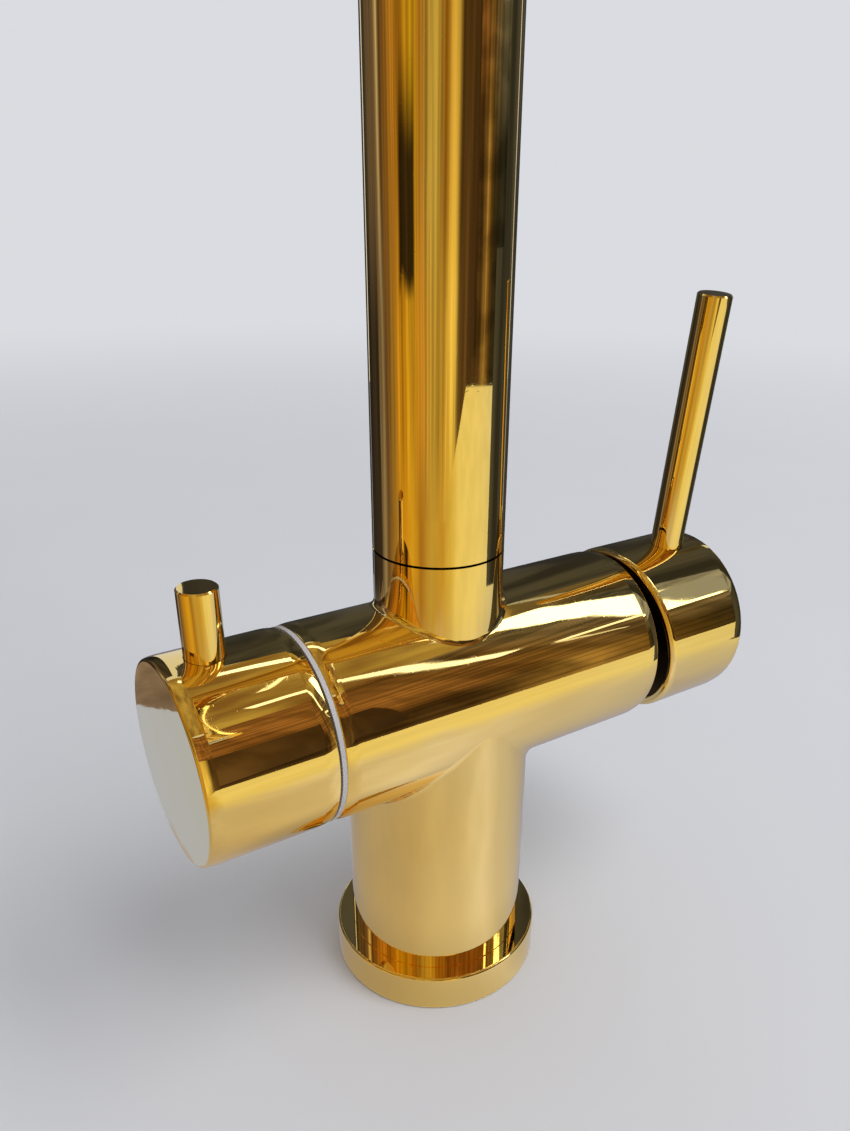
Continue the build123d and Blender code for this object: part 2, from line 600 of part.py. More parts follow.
def grub_screw(x, bottom):
    top = BARREL_RADIUS - HANDLE_PIN_SINK - HANDLE_THREAD_LENGTH - 0.5
    screw = rod(GRUB_SCREW_RADIUS, bottom, top)
    screw = chamfer(screw.faces().sort_by(Axis.Z)[0].edges(), 0.8)
    socket = Pos(0, 0, top - 2.5) * extrude(RegularPolygon(1.5, 6, major_radius=False), 3)
    return Pos(x, 0, 0) * (screw - socket)


def filter_knob():
    start = BARREL_FILTER_END - SLIP_RING_THICKNESS - MOVING_GAP
    knob = rolled_bar(BARREL_RADIUS, FILTER_KNOB_END, start)
    knob = fillet(knob.faces().sort_by(Axis.X)[0].edges(), KNOB_EDGE)
    knob = fillet(knob.faces().sort_by(Axis.X)[-1].edges(), BARREL_EDGE)
    knob -= bar(FILTER_KNOB_CAVITY_RADIUS, start - FILTER_KNOB_CAVITY_DEPTH, start + 1)
    knob -= bar(SPLINE_RADIUS + SEATED_GAP, SPLINE_SOCKET_END, start)
    return TO_BARREL * (knob - handle_pin_hole(PIN_X, 0))


def filter_grub_screw():
    return TO_BARREL * grub_screw(PIN_X, SPLINE_RADIUS + SEATED_GAP)


def filter_valve_body():
    body = bar(VALVE_TUBE_RADIUS, VALVE_CHAMBER_MOUTH, VALVE_TUBE_START)
    body += bar(VALVE_THREAD_RADIUS, BARREL_FILTER_END, VALVE_CHAMBER_MOUTH)
    hexagon = extrude(RegularPolygon(VALVE_HEX_ACROSS_FLATS / 2, 6, major_radius=False), VALVE_HEX_THICKNESS)
    body += Pos(BARREL_FILTER_END - VALVE_HEX_THICKNESS, 0, 0) * Rot(0, 90, 0) * hexagon
    body += bar(VALVE_NOSE_RADIUS, VALVE_NOSE_END, BARREL_FILTER_END)
    body -= bar(VALVE_TUBE_BORE, VALVE_CAVITY_END, VALVE_TUBE_START + 1)
    body -= bar(SPINDLE_RADIUS + RUNNING_GAP, VALVE_NOSE_END - 1, VALVE_CAVITY_END + 1)
    window_start = VALVE_TUBE_START - 2 * DISC_THICKNESS - 0.4
    for side in (-1, 1):
        wall = side * mean(VALVE_TUBE_RADIUS, VALVE_TUBE_BORE)
        body -= block((VALVE_CAVITY_END, -3, wall - 2), (window_start, 3, wall + 2))
    return TO_BARREL * body


def ceramic_disc(radius, start, upright):
    """A quarter-turn disc with two round ports, one above the other or side by side."""
    disc = bar(radius, start - DISC_THICKNESS, start)
    for side in (-1, 1):
        offset = side * DISC_PORT_OFFSET
        y, z = (0, offset) if upright else (offset, 0)
        disc -= bar(DISC_PORT_RADIUS, start - DISC_THICKNESS - 1, start + 1, y, z)
    return TO_BARREL * disc


def filter_fixed_disc():
    return ceramic_disc(VALVE_TUBE_BORE - SEATED_GAP, VALVE_TUBE_START, True)


def filter_moving_disc():
    start = VALVE_TUBE_START - DISC_THICKNESS - LAPPED_GAP
    return ceramic_disc(VALVE_TUBE_BORE - MOVING_GAP, start, False)


def filter_valve_spindle():
    head_start = VALVE_TUBE_START - 2 * DISC_THICKNESS - LAPPED_GAP
    head_end = VALVE_CAVITY_END + MOVING_GAP
    spindle = bar(VALVE_TUBE_BORE - MOVING_GAP, head_end, head_start)
    for side in (-1, 1):
        spindle -= bar(DISC_PORT_RADIUS, head_start - 1.5, head_start + 1, side * DISC_PORT_OFFSET, 0)
        reach = (side * DISC_PORT_OFFSET, side * VALVE_TUBE_BORE)
        spindle -= block(
            (head_start - 1.5, min(reach), -DISC_PORT_RADIUS), (head_start + 1, max(reach), DISC_PORT_RADIUS)
        )
    spindle += bar(SPINDLE_RADIUS, VALVE_NOSE_END, head_end)
    spindle += bar(SPLINE_RADIUS, SPINDLE_END, VALVE_NOSE_END)
    groove_start = SPINDLE_GROOVE_X - SPINDLE_GROOVE_HALF
    groove_end = SPINDLE_GROOVE_X + SPINDLE_GROOVE_HALF
    groove = bar(SPINDLE_RADIUS + 1, groove_start, groove_end)
    groove -= bar(SPINDLE_GROOVE_ROOT, groove_start - 1, groove_end + 1)
    return TO_BARREL * (spindle - groove)


def filter_spindle_o_ring():
    section = (SPINDLE_RADIUS - SPINDLE_GROOVE_ROOT) / 2
    ring = ring_round(mean(SPINDLE_GROOVE_ROOT, SPINDLE_RADIUS), section)
    return TO_BARREL * Pos(SPINDLE_GROOVE_X, 0, 0) * Rot(0, 90, 0) * ring


def filter_seat_seal():
    start = VALVE_TUBE_START + SEATED_GAP
    seal = bar(SEAT_SEAL_RADIUS, start, VALVE_CHAMBER_END) - bar(SEAT_HOLE_RADIUS + 2.4, start - 1, 0)
    return TO_BARREL * seal


# ---------------------------------------------------------------- mixer side
def in_stem_frame(shape):
    """Carry a shape drawn about the pivot to the leaning cartridge stem."""
    return Pos(PIVOT_X, 0, 0) * Rot(0, -STEM_LEAN, 0) * shape


def stem_square(side, start, end):
    return in_stem_frame(block((start, -side / 2, -side / 2), (end, side / 2, side / 2)))


def mixer_knob():
    rim_top = BARREL_MIXER_END + RIM_TOP_GAP
    rim_bottom = BARREL_MIXER_END + RIM_BOTTOM_GAP
    slant = math.degrees(math.atan2(rim_bottom - rim_top, 2 * BARREL_RADIUS))
    knob = rolled_bar(BARREL_RADIUS, BARREL_MIXER_END - ROLL_LENGTH, MIXER_KNOB_END)
    reach = 2 * BARREL_RADIUS
    cutter = block((-reach, -reach, -reach), (0, reach, reach))
    knob -= Pos(mean(rim_top, rim_bottom), 0, 0) * Rot(0, -slant, 0) * cutter
    rim = knob.faces().sort_by(Axis.X)[0]
    knob = fillet(rim.edges(), RIM_ROUND)
    knob = fillet(knob.faces().sort_by(Axis.X)[-1].edges(), KNOB_EDGE)
    knob -= bar(BARREL_RADIUS - MIXER_KNOB_WALL, BARREL_MIXER_END - 1, MIXER_KNOB_FLOOR)
    socket_start = MIXER_KNOB_FLOOR - PIVOT_X - 5
    knob -= stem_square(STEM_SIDE + 2 * SEATED_GAP, socket_start, STEM_LENGTH + 1)
    return TO_MIXER * (knob - handle_pin_hole(LEVER_X, 5))


def stem_face_height(x):
    """Height of the leaning stem's upper face at a distance along the barrel."""
    lean = math.radians(STEM_LEAN)
    return (x - PIVOT_X) * math.tan(lean) + STEM_SIDE / 2 / math.cos(lean)


def mixer_grub_screw():
    highest_contact = stem_face_height(LEVER_X + GRUB_SCREW_RADIUS - 0.8)
    return TO_MIXER * grub_screw(LEVER_X, highest_contact + 0.02)


def cartridge_nut():
    end = NUT_SEAT + NUT_THICKNESS
    nut = bar(NUT_THREAD_RADIUS - SEATED_GAP, NUT_SEAT, end) - bar(NUT_BORE, NUT_SEAT - 1, end + 1)
    for step in range(6):
        notch = block((end - 2, -2, NUT_BORE - 1), (end + 1, 2, NUT_BORE + 2))
        nut -= Rot(60 * step, 0, 0) * notch
    return TO_BARREL * nut


def dome_point(radius, angle):
    """A point on the dome, by its angle from the barrel's axis at the pivot."""
    return PIVOT_X + radius * math.cos(angle), radius * math.sin(angle)


def cartridge_dome():
    """Dome centred on the pivot, so that the handle can tip round it, turned from one profile."""
    start = NUT_SEAT + NUT_THICKNESS
    inside = DOME_RADIUS - DOME_WALL
    outer_rim = math.asin(DOME_HOLE_RADIUS / DOME_RADIUS)
    inner_rim = math.asin(DOME_HOLE_RADIUS / inside)
    outer_foot = math.acos((start + DOME_FLANGE - PIVOT_X) / DOME_RADIUS)
    inner_foot = math.acos((start - PIVOT_X) / inside)
    edge = NUT_THREAD_RADIUS - 0.25
    with BuildPart() as dome:
        with BuildSketch(Plane.XY):
            with BuildLine():
                Line(dome_point(inside, inner_foot), (start, edge))
                Line((start, edge), (start + DOME_FLANGE, edge))
                Line((start + DOME_FLANGE, edge), dome_point(DOME_RADIUS, outer_foot))
                ThreePointArc(
                    dome_point(DOME_RADIUS, outer_foot),
                    dome_point(DOME_RADIUS, mean(outer_foot, outer_rim)),
                    dome_point(DOME_RADIUS, outer_rim),
                )
                Line(dome_point(DOME_RADIUS, outer_rim), dome_point(inside, inner_rim))
                ThreePointArc(
                    dome_point(inside, inner_rim),
                    dome_point(inside, mean(inner_rim, inner_foot)),
                    dome_point(inside, inner_foot),
                )
            make_face()
        revolve(axis=Axis.X)
    return TO_BARREL * dome.part


def port_places():
    """The cartridge's two supply ports and its mixed-water port, across and above the axis."""
    return (
        (-SUPPLY_PORT_SIDE, -SUPPLY_PORT_DROP),
        (SUPPLY_PORT_SIDE, -SUPPLY_PORT_DROP),
        (0.0, MIXED_PORT_RISE),
    )


def cartridge_base():
    base = bar(CARTRIDGE_RADIUS - 0.2, CHAMBER_FLOOR + 0.2, CARTRIDGE_BASE_TOP)
    pocket_end = CHAMBER_FLOOR + PORT_SEAL_THICKNESS + SEATED_GAP
    for y, z in port_places():
        base -= bar(WATERWAY_RADIUS - 0.1, CHAMBER_FLOOR - 1, CARTRIDGE_BASE_TOP + 1, y, z)
        base -= bar(PORT_SEAL_RADIUS + SEATED_GAP, CHAMBER_FLOOR - 1, pocket_end, y, z)
    for side in (-1, 1):
        base += bar(PEG_RADIUS, CHAMBER_FLOOR - 2, CHAMBER_FLOOR + 1, side * PEG_SIDE, PEG_RISE)
    return TO_BARREL * base


def cartridge_port_seals():
    rings = []
    for y, z in port_places():
        end = CHAMBER_FLOOR + PORT_SEAL_THICKNESS
        ring = bar(PORT_SEAL_RADIUS, CHAMBER_FLOOR, end, y, z)
        ring -= bar(PORT_SEAL_HOLE_RADIUS, CHAMBER_FLOOR - 1, end + 1, y, z)
        rings.append(TO_BARREL * ring)
    return Compound(children=[solid for ring in rings for solid in ring.solids()])


def cartridge_housing():
    lip = NUT_SEAT - CARTRIDGE_LIP_THICKNESS
    housing = bar(CARTRIDGE_RADIUS, CARTRIDGE_BASE_TOP, NUT_SEAT)
    housing -= bar(CARTRIDGE_BORE, CARTRIDGE_BASE_TOP - 1, lip)
    return TO_BARREL * (housing - bar(CARTRIDGE_LIP_BORE, lip - 1, NUT_SEAT + 1))


def cartridge_fixed_disc():
    end = CARTRIDGE_BASE_TOP + FIXED_DISC_THICKNESS
    disc = bar(FIXED_DISC_RADIUS, CARTRIDGE_BASE_TOP, end)
    for y, z in port_places():
        disc -= bar(WATERWAY_RADIUS - 0.3, CARTRIDGE_BASE_TOP - 1, end + 1, y, z)
    return TO_BARREL * disc


def disc_offset():
    """How far the stem's ball carries the moving disc below the axis at rest."""
    return -STEM_BALL_DROP * math.sin(math.radians(STEM_LEAN))


def cartridge_moving_disc():
    start = CARTRIDGE_BASE_TOP + FIXED_DISC_THICKNESS + LAPPED_GAP
    disc = bar(MOVING_DISC_RADIUS, start, start + MOVING_DISC_THICKNESS, 0, disc_offset())
    rise = disc_offset() + MIXING_HOLLOW_RISE
    hollow = bar(MIXING_HOLLOW_RADIUS, start - 1, start + MIXING_HOLLOW_DEPTH, 0, rise)
    return TO_MIXER * (disc - hollow)


def cartridge_disc_carrier():
    start = CARTRIDGE_BASE_TOP + FIXED_DISC_THICKNESS + LAPPED_GAP + MOVING_DISC_THICKNESS
    carrier = bar(CARRIER_RADIUS, start, CARRIER_TOP, 0, disc_offset())
    reach = 2 * CARRIER_RADIUS
    carrier &= block((start - 1, -CARRIER_HALF_WIDTH, -reach), (CARRIER_TOP + 1, CARRIER_HALF_WIDTH, reach))
    ball_seat = bar(STEM_BALL_RADIUS + MOVING_GAP, start + CARRIER_FLOOR, CARRIER_TOP + 1, 0, disc_offset())
    return TO_MIXER * (carrier - ball_seat)


def cartridge_rotor():
    lip = NUT_SEAT - CARTRIDGE_LIP_THICKNESS
    bottom = CARRIER_TOP + MOVING_GAP
    rotor = bar(ROTOR_RADIUS, bottom, lip - MOVING_GAP) + bar(ROTOR_NECK_RADIUS, bottom, ROTOR_NECK_END)
    cheek_end = bottom - ROTOR_CHEEK_DEPTH
    cheeks = bar(ROTOR_RADIUS, cheek_end, bottom + 1)
    inner = CARRIER_HALF_WIDTH + MOVING_GAP
    reach = 2 * ROTOR_RADIUS
    rotor += cheeks - block((cheek_end - 1, -inner, -reach), (bottom, inner, reach))
    half = STEM_SIDE / 2 + MOVING_GAP
    rotor -= block((cheek_end - 1, -half, -ROTOR_SLOT_HALF), (ROTOR_NECK_END + 1, half, ROTOR_SLOT_HALF))
    return TO_MIXER * (rotor - pivot_pin_shape(PIVOT_PIN_RADIUS + SEATED_GAP))


def pivot_pin_shape(radius):
    length = 2 * PIVOT_PIN_HALF_LENGTH
    return Pos(PIVOT_X, 0, 0) * Rot(90, 0, 0) * Cylinder(radius, length)


def cartridge_pivot_pin():
    return TO_MIXER * pivot_pin_shape(PIVOT_PIN_RADIUS)


def cartridge_stem():
    stem = stem_square(STEM_SIDE, -2.6, STEM_LENGTH)
    stem += in_stem_frame(bar(STEM_NECK_RADIUS, -STEM_BALL_DROP, 0))
    stem += in_stem_frame(Pos(-STEM_BALL_DROP, 0, 0) * Sphere(STEM_BALL_RADIUS))
    return TO_MIXER * (stem - pivot_pin_shape(PIVOT_PIN_RADIUS + RUNNING_GAP))


def main():
    rubber_top = -WORKTOP_THICKNESS
    save("body_casting", body_casting())
    save("base_ring", base_ring())
    save("base_seal", base_seal())
    save("inlet_block", inlet_block())
    save("inlet_gasket", inlet_gasket())
    save("inlet_circlip", inlet_circlip())
    save("fixing_stud", fixing_stud())
    save("fixing_rubber_horseshoe", horseshoe(rubber_top, RUBBER_THICKNESS))
    save("fixing_steel_horseshoe", horseshoe(rubber_top - RUBBER_THICKNESS, STEEL_THICKNESS))
    save("fixing_nut", fixing_nut())
    save("spout_tube", spout_tube())
    save("spout_bushes", spout_bushes())
    save("spout_o_rings", spout_o_rings())
    save("spout_grub_screw", spout_grub_screw())
    save("filtered_inner_tube", filtered_inner_tube())
    save("inner_tube_o_ring", inner_tube_o_ring())
    save("nozzle_collar", nozzle_collar())
    save("aerator_insert", aerator_insert())
    save("aerator_seal", aerator_seal())
    save("filtered_nozzle", filtered_nozzle())
    save("filter_slip_ring", filter_slip_ring())
    save("filter_knob", filter_knob())
    save("filter_pin", TO_BARREL * handle_pin(PIN_X, FILTER_PIN_LENGTH))
    save("filter_grub_screw", filter_grub_screw())
    save("filter_valve_body", filter_valve_body())
    save("filter_valve_spindle", filter_valve_spindle())
    save("filter_fixed_disc", filter_fixed_disc())
    save("filter_moving_disc", filter_moving_disc())
    save("filter_seat_seal", filter_seat_seal())
    save("filter_spindle_o_ring", filter_spindle_o_ring())
    save("mixer_knob", mixer_knob())
    save("mixer_lever", TO_MIXER * handle_pin(LEVER_X, LEVER_LENGTH))
    save("mixer_grub_screw", mixer_grub_screw())
    save("cartridge_nut", cartridge_nut())
    save("cartridge_dome", cartridge_dome())
    save("cartridge_housing", cartridge_housing())
    save("cartridge_base", cartridge_base())
    save("cartridge_port_seals", cartridge_port_seals())
    save("cartridge_fixed_disc", cartridge_fixed_disc())
    save("cartridge_moving_disc", cartridge_moving_disc())
    save("cartridge_disc_carrier", cartridge_disc_carrier())
    save("cartridge_rotor", cartridge_rotor())
    save("cartridge_stem", cartridge_stem())
    save("cartridge_pivot_pin", cartridge_pivot_pin())


main()
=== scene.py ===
"""Finish and studio for the three way filtered water tap, built on its packed construction model."""
import json
import math

import bpy
from mathutils import Matrix, Vector


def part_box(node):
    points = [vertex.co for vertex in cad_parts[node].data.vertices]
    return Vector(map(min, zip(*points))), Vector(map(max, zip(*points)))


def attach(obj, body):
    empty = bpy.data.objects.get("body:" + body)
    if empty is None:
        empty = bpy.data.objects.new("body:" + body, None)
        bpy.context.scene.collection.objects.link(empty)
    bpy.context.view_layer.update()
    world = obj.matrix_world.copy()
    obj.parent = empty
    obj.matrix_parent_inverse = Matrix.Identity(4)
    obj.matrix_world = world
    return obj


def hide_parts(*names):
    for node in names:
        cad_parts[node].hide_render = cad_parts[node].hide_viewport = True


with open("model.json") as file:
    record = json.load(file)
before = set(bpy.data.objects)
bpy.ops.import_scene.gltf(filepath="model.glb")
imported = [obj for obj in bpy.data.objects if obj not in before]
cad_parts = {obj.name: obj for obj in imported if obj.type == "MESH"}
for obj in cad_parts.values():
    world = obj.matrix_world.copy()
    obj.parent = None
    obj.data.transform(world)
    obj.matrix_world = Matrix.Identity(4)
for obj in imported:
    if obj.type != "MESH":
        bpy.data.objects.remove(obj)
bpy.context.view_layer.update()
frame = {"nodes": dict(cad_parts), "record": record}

# ---- camera, in metres, degrees and pixels of the 850 x 1131 picture ----
PICTURE_WIDTH = 850
PICTURE_HEIGHT = 1131
FOCAL_PIXELS = 922.7
OPTICAL_CENTRE = (467.9, 638.9)
CAMERA_PLACE = Vector((-0.1071, -0.1666, 0.1913))
CAMERA_AZIMUTH = -34.83
CAMERA_ELEVATION = 26.40
CAMERA_ROLL = -1.364
SENSOR = 36.0

# ---- studio, in metres and watts ----
BACKDROP_COLOUR = (0.70, 0.715, 0.75, 1.0)
FILL_STRENGTH = 0.45
FLOOR_COLOURS = ((0.79, 0.81, 0.865, 1.0), (0.78, 0.80, 0.86, 1.0))
FLOOR_HALF_WIDTH = 6.0
FLOOR_DROP = 0.0003
FLOOR_FADE = (0.25, 1.3)
LAMP_PLACE = Vector((0.5, -0.9, 1.7))
LAMP_TARGET = Vector((0.0, 0.0, 0.1))
LAMP_SIZE = 1.2
LAMP_POWER = 18.0
LAMP_COLOUR = (1.0, 0.99, 0.97)

# ---- places on the tap, from the frame: the handle's box reaches one radius past the barrel's axis ----
HANDLE_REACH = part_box("filter_knob")[1]
BARREL_CENTRE = Vector((0.0, 0.0, HANDLE_REACH[2] - HANDLE_REACH[1]))
BASE_RING_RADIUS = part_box("base_ring")[1][0]
MIXER_HANDLE_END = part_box("mixer_knob")[1][0]

# ---- glowing cards, which paint reflections into the mirror finish, and lights that only it shows, in metres ----
DRAPES_DISTANCE = 0.38
FRONT_DRAPES_DISTANCE = 0.42
FLAG_DISTANCE = 0.27
SCREEN_DISTANCE = 0.8
GREY_SHEET_DISTANCE = 0.76
CEILING_HEIGHT = 1.5
SHEEN_HALF_WIDTH = 0.8
SHEEN_HEIGHT = 0.0003
TAUPE_CARD_HEIGHT = 0.0005
COOL_CARD_HEIGHT = 0.0006
CARD_STEP_DEGREES = 4
MAIN_LIGHT_DISTANCE = 0.78
EDGE_LIGHT_DISTANCE = 0.77
CROWN_LIGHT_DISTANCE = 1.2
REAR_LIGHT_DISTANCE = 1.1
LIGHT_ROWS = 6
HALO_EXTRA_WIDTH = 0.014
HALO_SETBACK = 1.02
HALO_STRENGTH = 0.22
COOL_WHITE = (0.97, 1.0, 1.0)
WARM_WHITE = (1.0, 0.98, 0.94)

# ---- drawn patterns of painted light and shade: how many noise cells they have round the tap, and per metre along the card ----
FOLD_SCALES = (26.0, 1.6)
PLEAT_SCALES = (90.0, 2.5)
BAND_SCALES = (7.0, 26.0)
STREAK_SCALES = (34.0, 2.0)

# ---- how far noise moves colours round the tap, in turns, and edges, in metres ----
FOLD_SWING = 0.03
STREAK_SWING = 0.03
CLOUD_SWING = 0.16
NOTCH_RAG = 0.05
STREAK_RAG = 0.14

# ---- half widths of the notch's soft edges, in turns at its sides and in metres at its foot and top ----
NOTCH_SIDE_BLUR = 0.005
NOTCH_FOOT_BLUR = 0.008
NOTCH_TOP_BLUR = 0.03

# ---- where cards change, in metres: heights on the cloth, distances from the axis on the sheen ----
CLOTH_FOOT = (-0.01, 0.07)
SHEEN_EDGE = (0.13, 0.27)
# painted contact shadow: how far past the base ring the floor's painted reflection stays darker
CONTACT_SHADOW_WIDTH = 0.023

# ---- the mixer handle's bore, rougher and darkened with painted shade, in metres: its radius, its start along the barrel and its end wall ----
BORE_EDGE = (0.0208, 0.0214)
BORE_START = (0.0452, 0.0458)
BORE_END_WALL = 0.0035
BORE_END_BLUR = 0.0004

# ---- the clamp stud, in metres; the thread's half widths are shares of its pitch ----
STUD_PITCH = 0.00125
STUD_THREAD_DEPTH = 0.0007
STUD_THREAD_MARGIN = 0.0015
STUD_THREAD_SINK = 0.00002
THREAD_FOOT = 0.46
THREAD_CREST = 0.07
STUD_CHAMFER = 0.0008
STUD_TIP_SHARE = 0.7
STUD_SIDES = 28


# ---------------------------------------------------------------- shader helpers
class Wire:
    """One socket of a material, so that shader maths reads as plain sums."""

    def __init__(self, tree, socket):
        self.tree = tree
        self.socket = socket

    def __add__(self, other):
        return self.tree.math("ADD", self, other)

    def __radd__(self, other):
        return self.tree.math("ADD", other, self)

    def __sub__(self, other):
        return self.tree.math("SUBTRACT", self, other)

    def __rsub__(self, other):
        return self.tree.math("SUBTRACT", other, self)

    def __mul__(self, other):
        return self.tree.math("MULTIPLY", self, other)

    def __rmul__(self, other):
        return self.tree.math("MULTIPLY", other, self)

    def __truediv__(self, other):
        return self.tree.math("DIVIDE", self, other)


class Tree:
    """The nodes of one material or world."""

    def __init__(self, owner):
        owner.use_nodes = True
        self.nodes = owner.node_tree.nodes
        self.links = owner.node_tree.links
        self.nodes.clear()

    def add(self, kind, settings=None, sockets=None, out=0):
        """One node: its settings first, then the values or wires of its sockets."""
        node = self.nodes.new(kind)
        for name, value in (settings or {}).items():
            if name == "stops":
                self.set_stops(node.color_ramp, value)
            else:
                setattr(node, name, value)
        for key, value in (sockets or {}).items():
            if isinstance(value, Wire):
                self.links.new(value.socket, node.inputs[key])
            else:
                node.inputs[key].default_value = value
        return Wire(self, node.outputs[out]) if node.outputs else node

    def set_stops(self, ramp, stops):
        while len(ramp.elements) < len(stops):
            ramp.elements.new(1.0)
        for element, (position, colour) in zip(ramp.elements, stops):
            element.position = position
            element.color = colour

    def math(self, operation, first, second=0.0):
        return self.add("ShaderNodeMath", {"operation": operation}, {0: first, 1: second})

    def place(self):
        """The point's own place on the tap, in metres."""
        return self.add("ShaderNodeTexCoord", out="Object")

    def noise(self, scale, detail=2.0, stretch=None):
        vector = self.place()
        if stretch:
            vector = self.add("ShaderNodeVectorMath", {"operation": "MULTIPLY"}, {0: vector, 1: stretch})
        return self.add("ShaderNodeTexNoise", None, {"Vector": vector, "Scale": scale, "Detail": detail})

    def between(self, value, low, high):
        """0 below low, 1 above high, and a soft step between."""
        settings = {"interpolation_type": "SMOOTHSTEP"}
        sockets = {"Value": value, "From Min": low, "From Max": high}
        return self.add("ShaderNodeMapRange", settings, sockets)

    def past(self, value, edge, blur):
        """0 before an edge and 1 past it, with a soft step of that half width."""
        return self.between(value, edge - blur, edge + blur)

    def blend(self, factor, first, second):
        """A mix of two colours."""
        return self.add("ShaderNodeMix", {"data_type": "RGBA"}, {0: factor, 6: first, 7: second}, out=2)

    def shaded(self, colour, shade):
        """A colour made darker or lighter by a value."""
        return self.add("ShaderNodeVectorMath", {"operation": "SCALE"}, {0: colour, "Scale": shade})

    def bump(self, height, distance, strength=1.0):
        sockets = {"Strength": strength, "Distance": distance, "Height": height}
        return self.add("ShaderNodeBump", None, sockets)

    def axis_value(self, axis):
        """One coordinate of the point's place: 0, 1 or 2."""
        return self.add("ShaderNodeSeparateXYZ", None, {"Vector": self.place()}, out=axis)

    def surface(self, sockets):
        """The whole material: one principled surface."""
        shader = self.add("ShaderNodeBsdfPrincipled", None, sockets)
        self.add("ShaderNodeOutputMaterial", None, {"Surface": shader})

    def glow(self, colour, strength=1.0):
        """The whole material: one surface that gives its own light."""
        light = self.add("ShaderNodeEmission", None, {"Color": colour, "Strength": strength})
        self.add("ShaderNodeOutputMaterial", None, {"Surface": light})


def new_material(name):
    material = bpy.data.materials.new(name)
    return material, Tree(material)


# ---------------------------------------------------------------- finishes
def polished_gold():
    """Vapour-coated brass, buffed to a mirror: faint ripple, hairline wipe marks and a slight smear.

    The mixer handle's bore is rougher, where no wheel reaches, and its colour is darkened to near black as
    painted shade inside it."""
    material, tree = new_material("polished gold")
    tone = tree.between(tree.noise(38.0, 3.0), 0.35, 0.7)
    colour = tree.blend(tone, (1.0, 0.75, 0.29, 1.0), (0.985, 0.725, 0.255, 1.0))
    x, y, z = (tree.axis_value(axis) for axis in range(3))
    height = z - BARREL_CENTRE.z
    off_axis = tree.math("SQRT", y * y + height * height)
    end_wall = MIXER_HANDLE_END - BORE_END_WALL
    along = tree.between(x, *BORE_START) * (1.0 - tree.between(x, end_wall, end_wall + BORE_END_BLUR))
    # painted shade: inside the mixer handle's bore the colour is darkened to near black; the same mask also
    # makes it rougher
    bore = (1.0 - tree.between(off_axis, *BORE_EDGE)) * along
    colour = tree.blend(bore, colour, (0.06, 0.04, 0.02, 1.0))
    smear = tree.between(tree.noise(55.0, 4.0), 0.45, 0.75)
    hairline = tree.between(tree.noise(900.0, 2.0, (1.0, 0.06, 1.0)), 0.62, 0.7)
    roughness = 0.028 + smear * 0.03 + hairline * 0.02 + bore * 0.3
    ripple = tree.noise(45.0, 2.0) + hairline * 0.01
    normal = tree.bump(ripple, 0.00006)
    tree.surface({"Base Color": colour, "Metallic": 1.0, "Roughness": roughness, "Normal": normal})
    return material


def dark_bronze():
    """Bronze darkened by oxide, satin, with warmer metal showing through in places."""
    material, tree = new_material("dark bronze")
    rub = tree.between(tree.noise(240.0, 4.0), 0.5, 0.75)
    colour = tree.blend(rub, (0.075, 0.048, 0.024, 1.0), (0.20, 0.13, 0.06, 1.0))
    normal = tree.bump(tree.noise(1800.0, 2.0), 0.00002)
    tree.surface({"Base Color": colour, "Metallic": 1.0, "Roughness": 0.3 + rub * 0.12, "Normal": normal})
    return material


def plain_brass():
    """Turned brass left bare: fine tool lines and a dull brown bloom."""
    material, tree = new_material("plain brass")
    bloom = tree.between(tree.noise(120.0, 5.0), 0.3, 0.75)
    colour = tree.blend(bloom, (0.78, 0.60, 0.30, 1.0), (0.62, 0.45, 0.20, 1.0))
    lines = tree.noise(2600.0, 1.0, (1.0, 0.05, 1.0))
    normal = tree.bump(lines, 0.00003)
    roughness = 0.24 + bloom * 0.16
    tree.surface({"Base Color": colour, "Metallic": 1.0, "Roughness": roughness, "Normal": normal})
    return material


def zinc_steel():
    """Zinc plated steel: bright, slightly blue, with cloudy patches."""
    material, tree = new_material("zinc plated steel")
    cloud = tree.between(tree.noise(160.0, 5.0), 0.35, 0.7)
    colour = tree.blend(cloud, (0.70, 0.72, 0.75, 1.0), (0.55, 0.56, 0.55, 1.0))
    roughness = 0.26 + cloud * 0.18
    normal = tree.bump(tree.noise(1500.0, 2.0), 0.00002)
    tree.surface({"Base Color": colour, "Metallic": 1.0, "Roughness": roughness, "Normal": normal})
    return material


def plain_steel():
    """Machined steel screws and pins."""
    material, tree = new_material("plain steel")
    film = tree.between(tree.noise(300.0, 4.0), 0.3, 0.7)
    colour = tree.blend(film, (0.58, 0.58, 0.59, 1.0), (0.42, 0.41, 0.40, 1.0))
    roughness = 0.28 + film * 0.15
    normal = tree.bump(tree.noise(2200.0, 1.0), 0.00002)
    tree.surface({"Base Color": colour, "Metallic": 1.0, "Roughness": roughness, "Normal": normal})
    return material


def black_rubber():
    """Moulded rubber: matt, with a fine grain and a pale dusting."""
    material, tree = new_material("black rubber")
    dust = tree.between(tree.noise(220.0, 5.0), 0.5, 0.8)
    colour = tree.blend(dust, (0.018, 0.018, 0.019, 1.0), (0.07, 0.07, 0.07, 1.0))
    normal = tree.bump(tree.noise(1800.0, 3.0), 0.00006)
    tree.surface({"Base Color": colour, "Roughness": 0.62 + dust * 0.2, "Normal": normal})
    return material


def moulded_plastic(name, light, dark, gloss):
    """Injection-moulded plastic: slight cloud in its colour and a spark-eroded grain."""
    material, tree = new_material(name)
    cloud = tree.between(tree.noise(90.0, 3.0), 0.35, 0.7)
    colour = tree.blend(cloud, (*light, 1.0), (*dark, 1.0))
    normal = tree.bump(tree.noise(2400.0, 2.0), 0.00002)
    tree.surface({"Base Color": colour, "Roughness": gloss + cloud * 0.08, "Normal": normal})
    return material


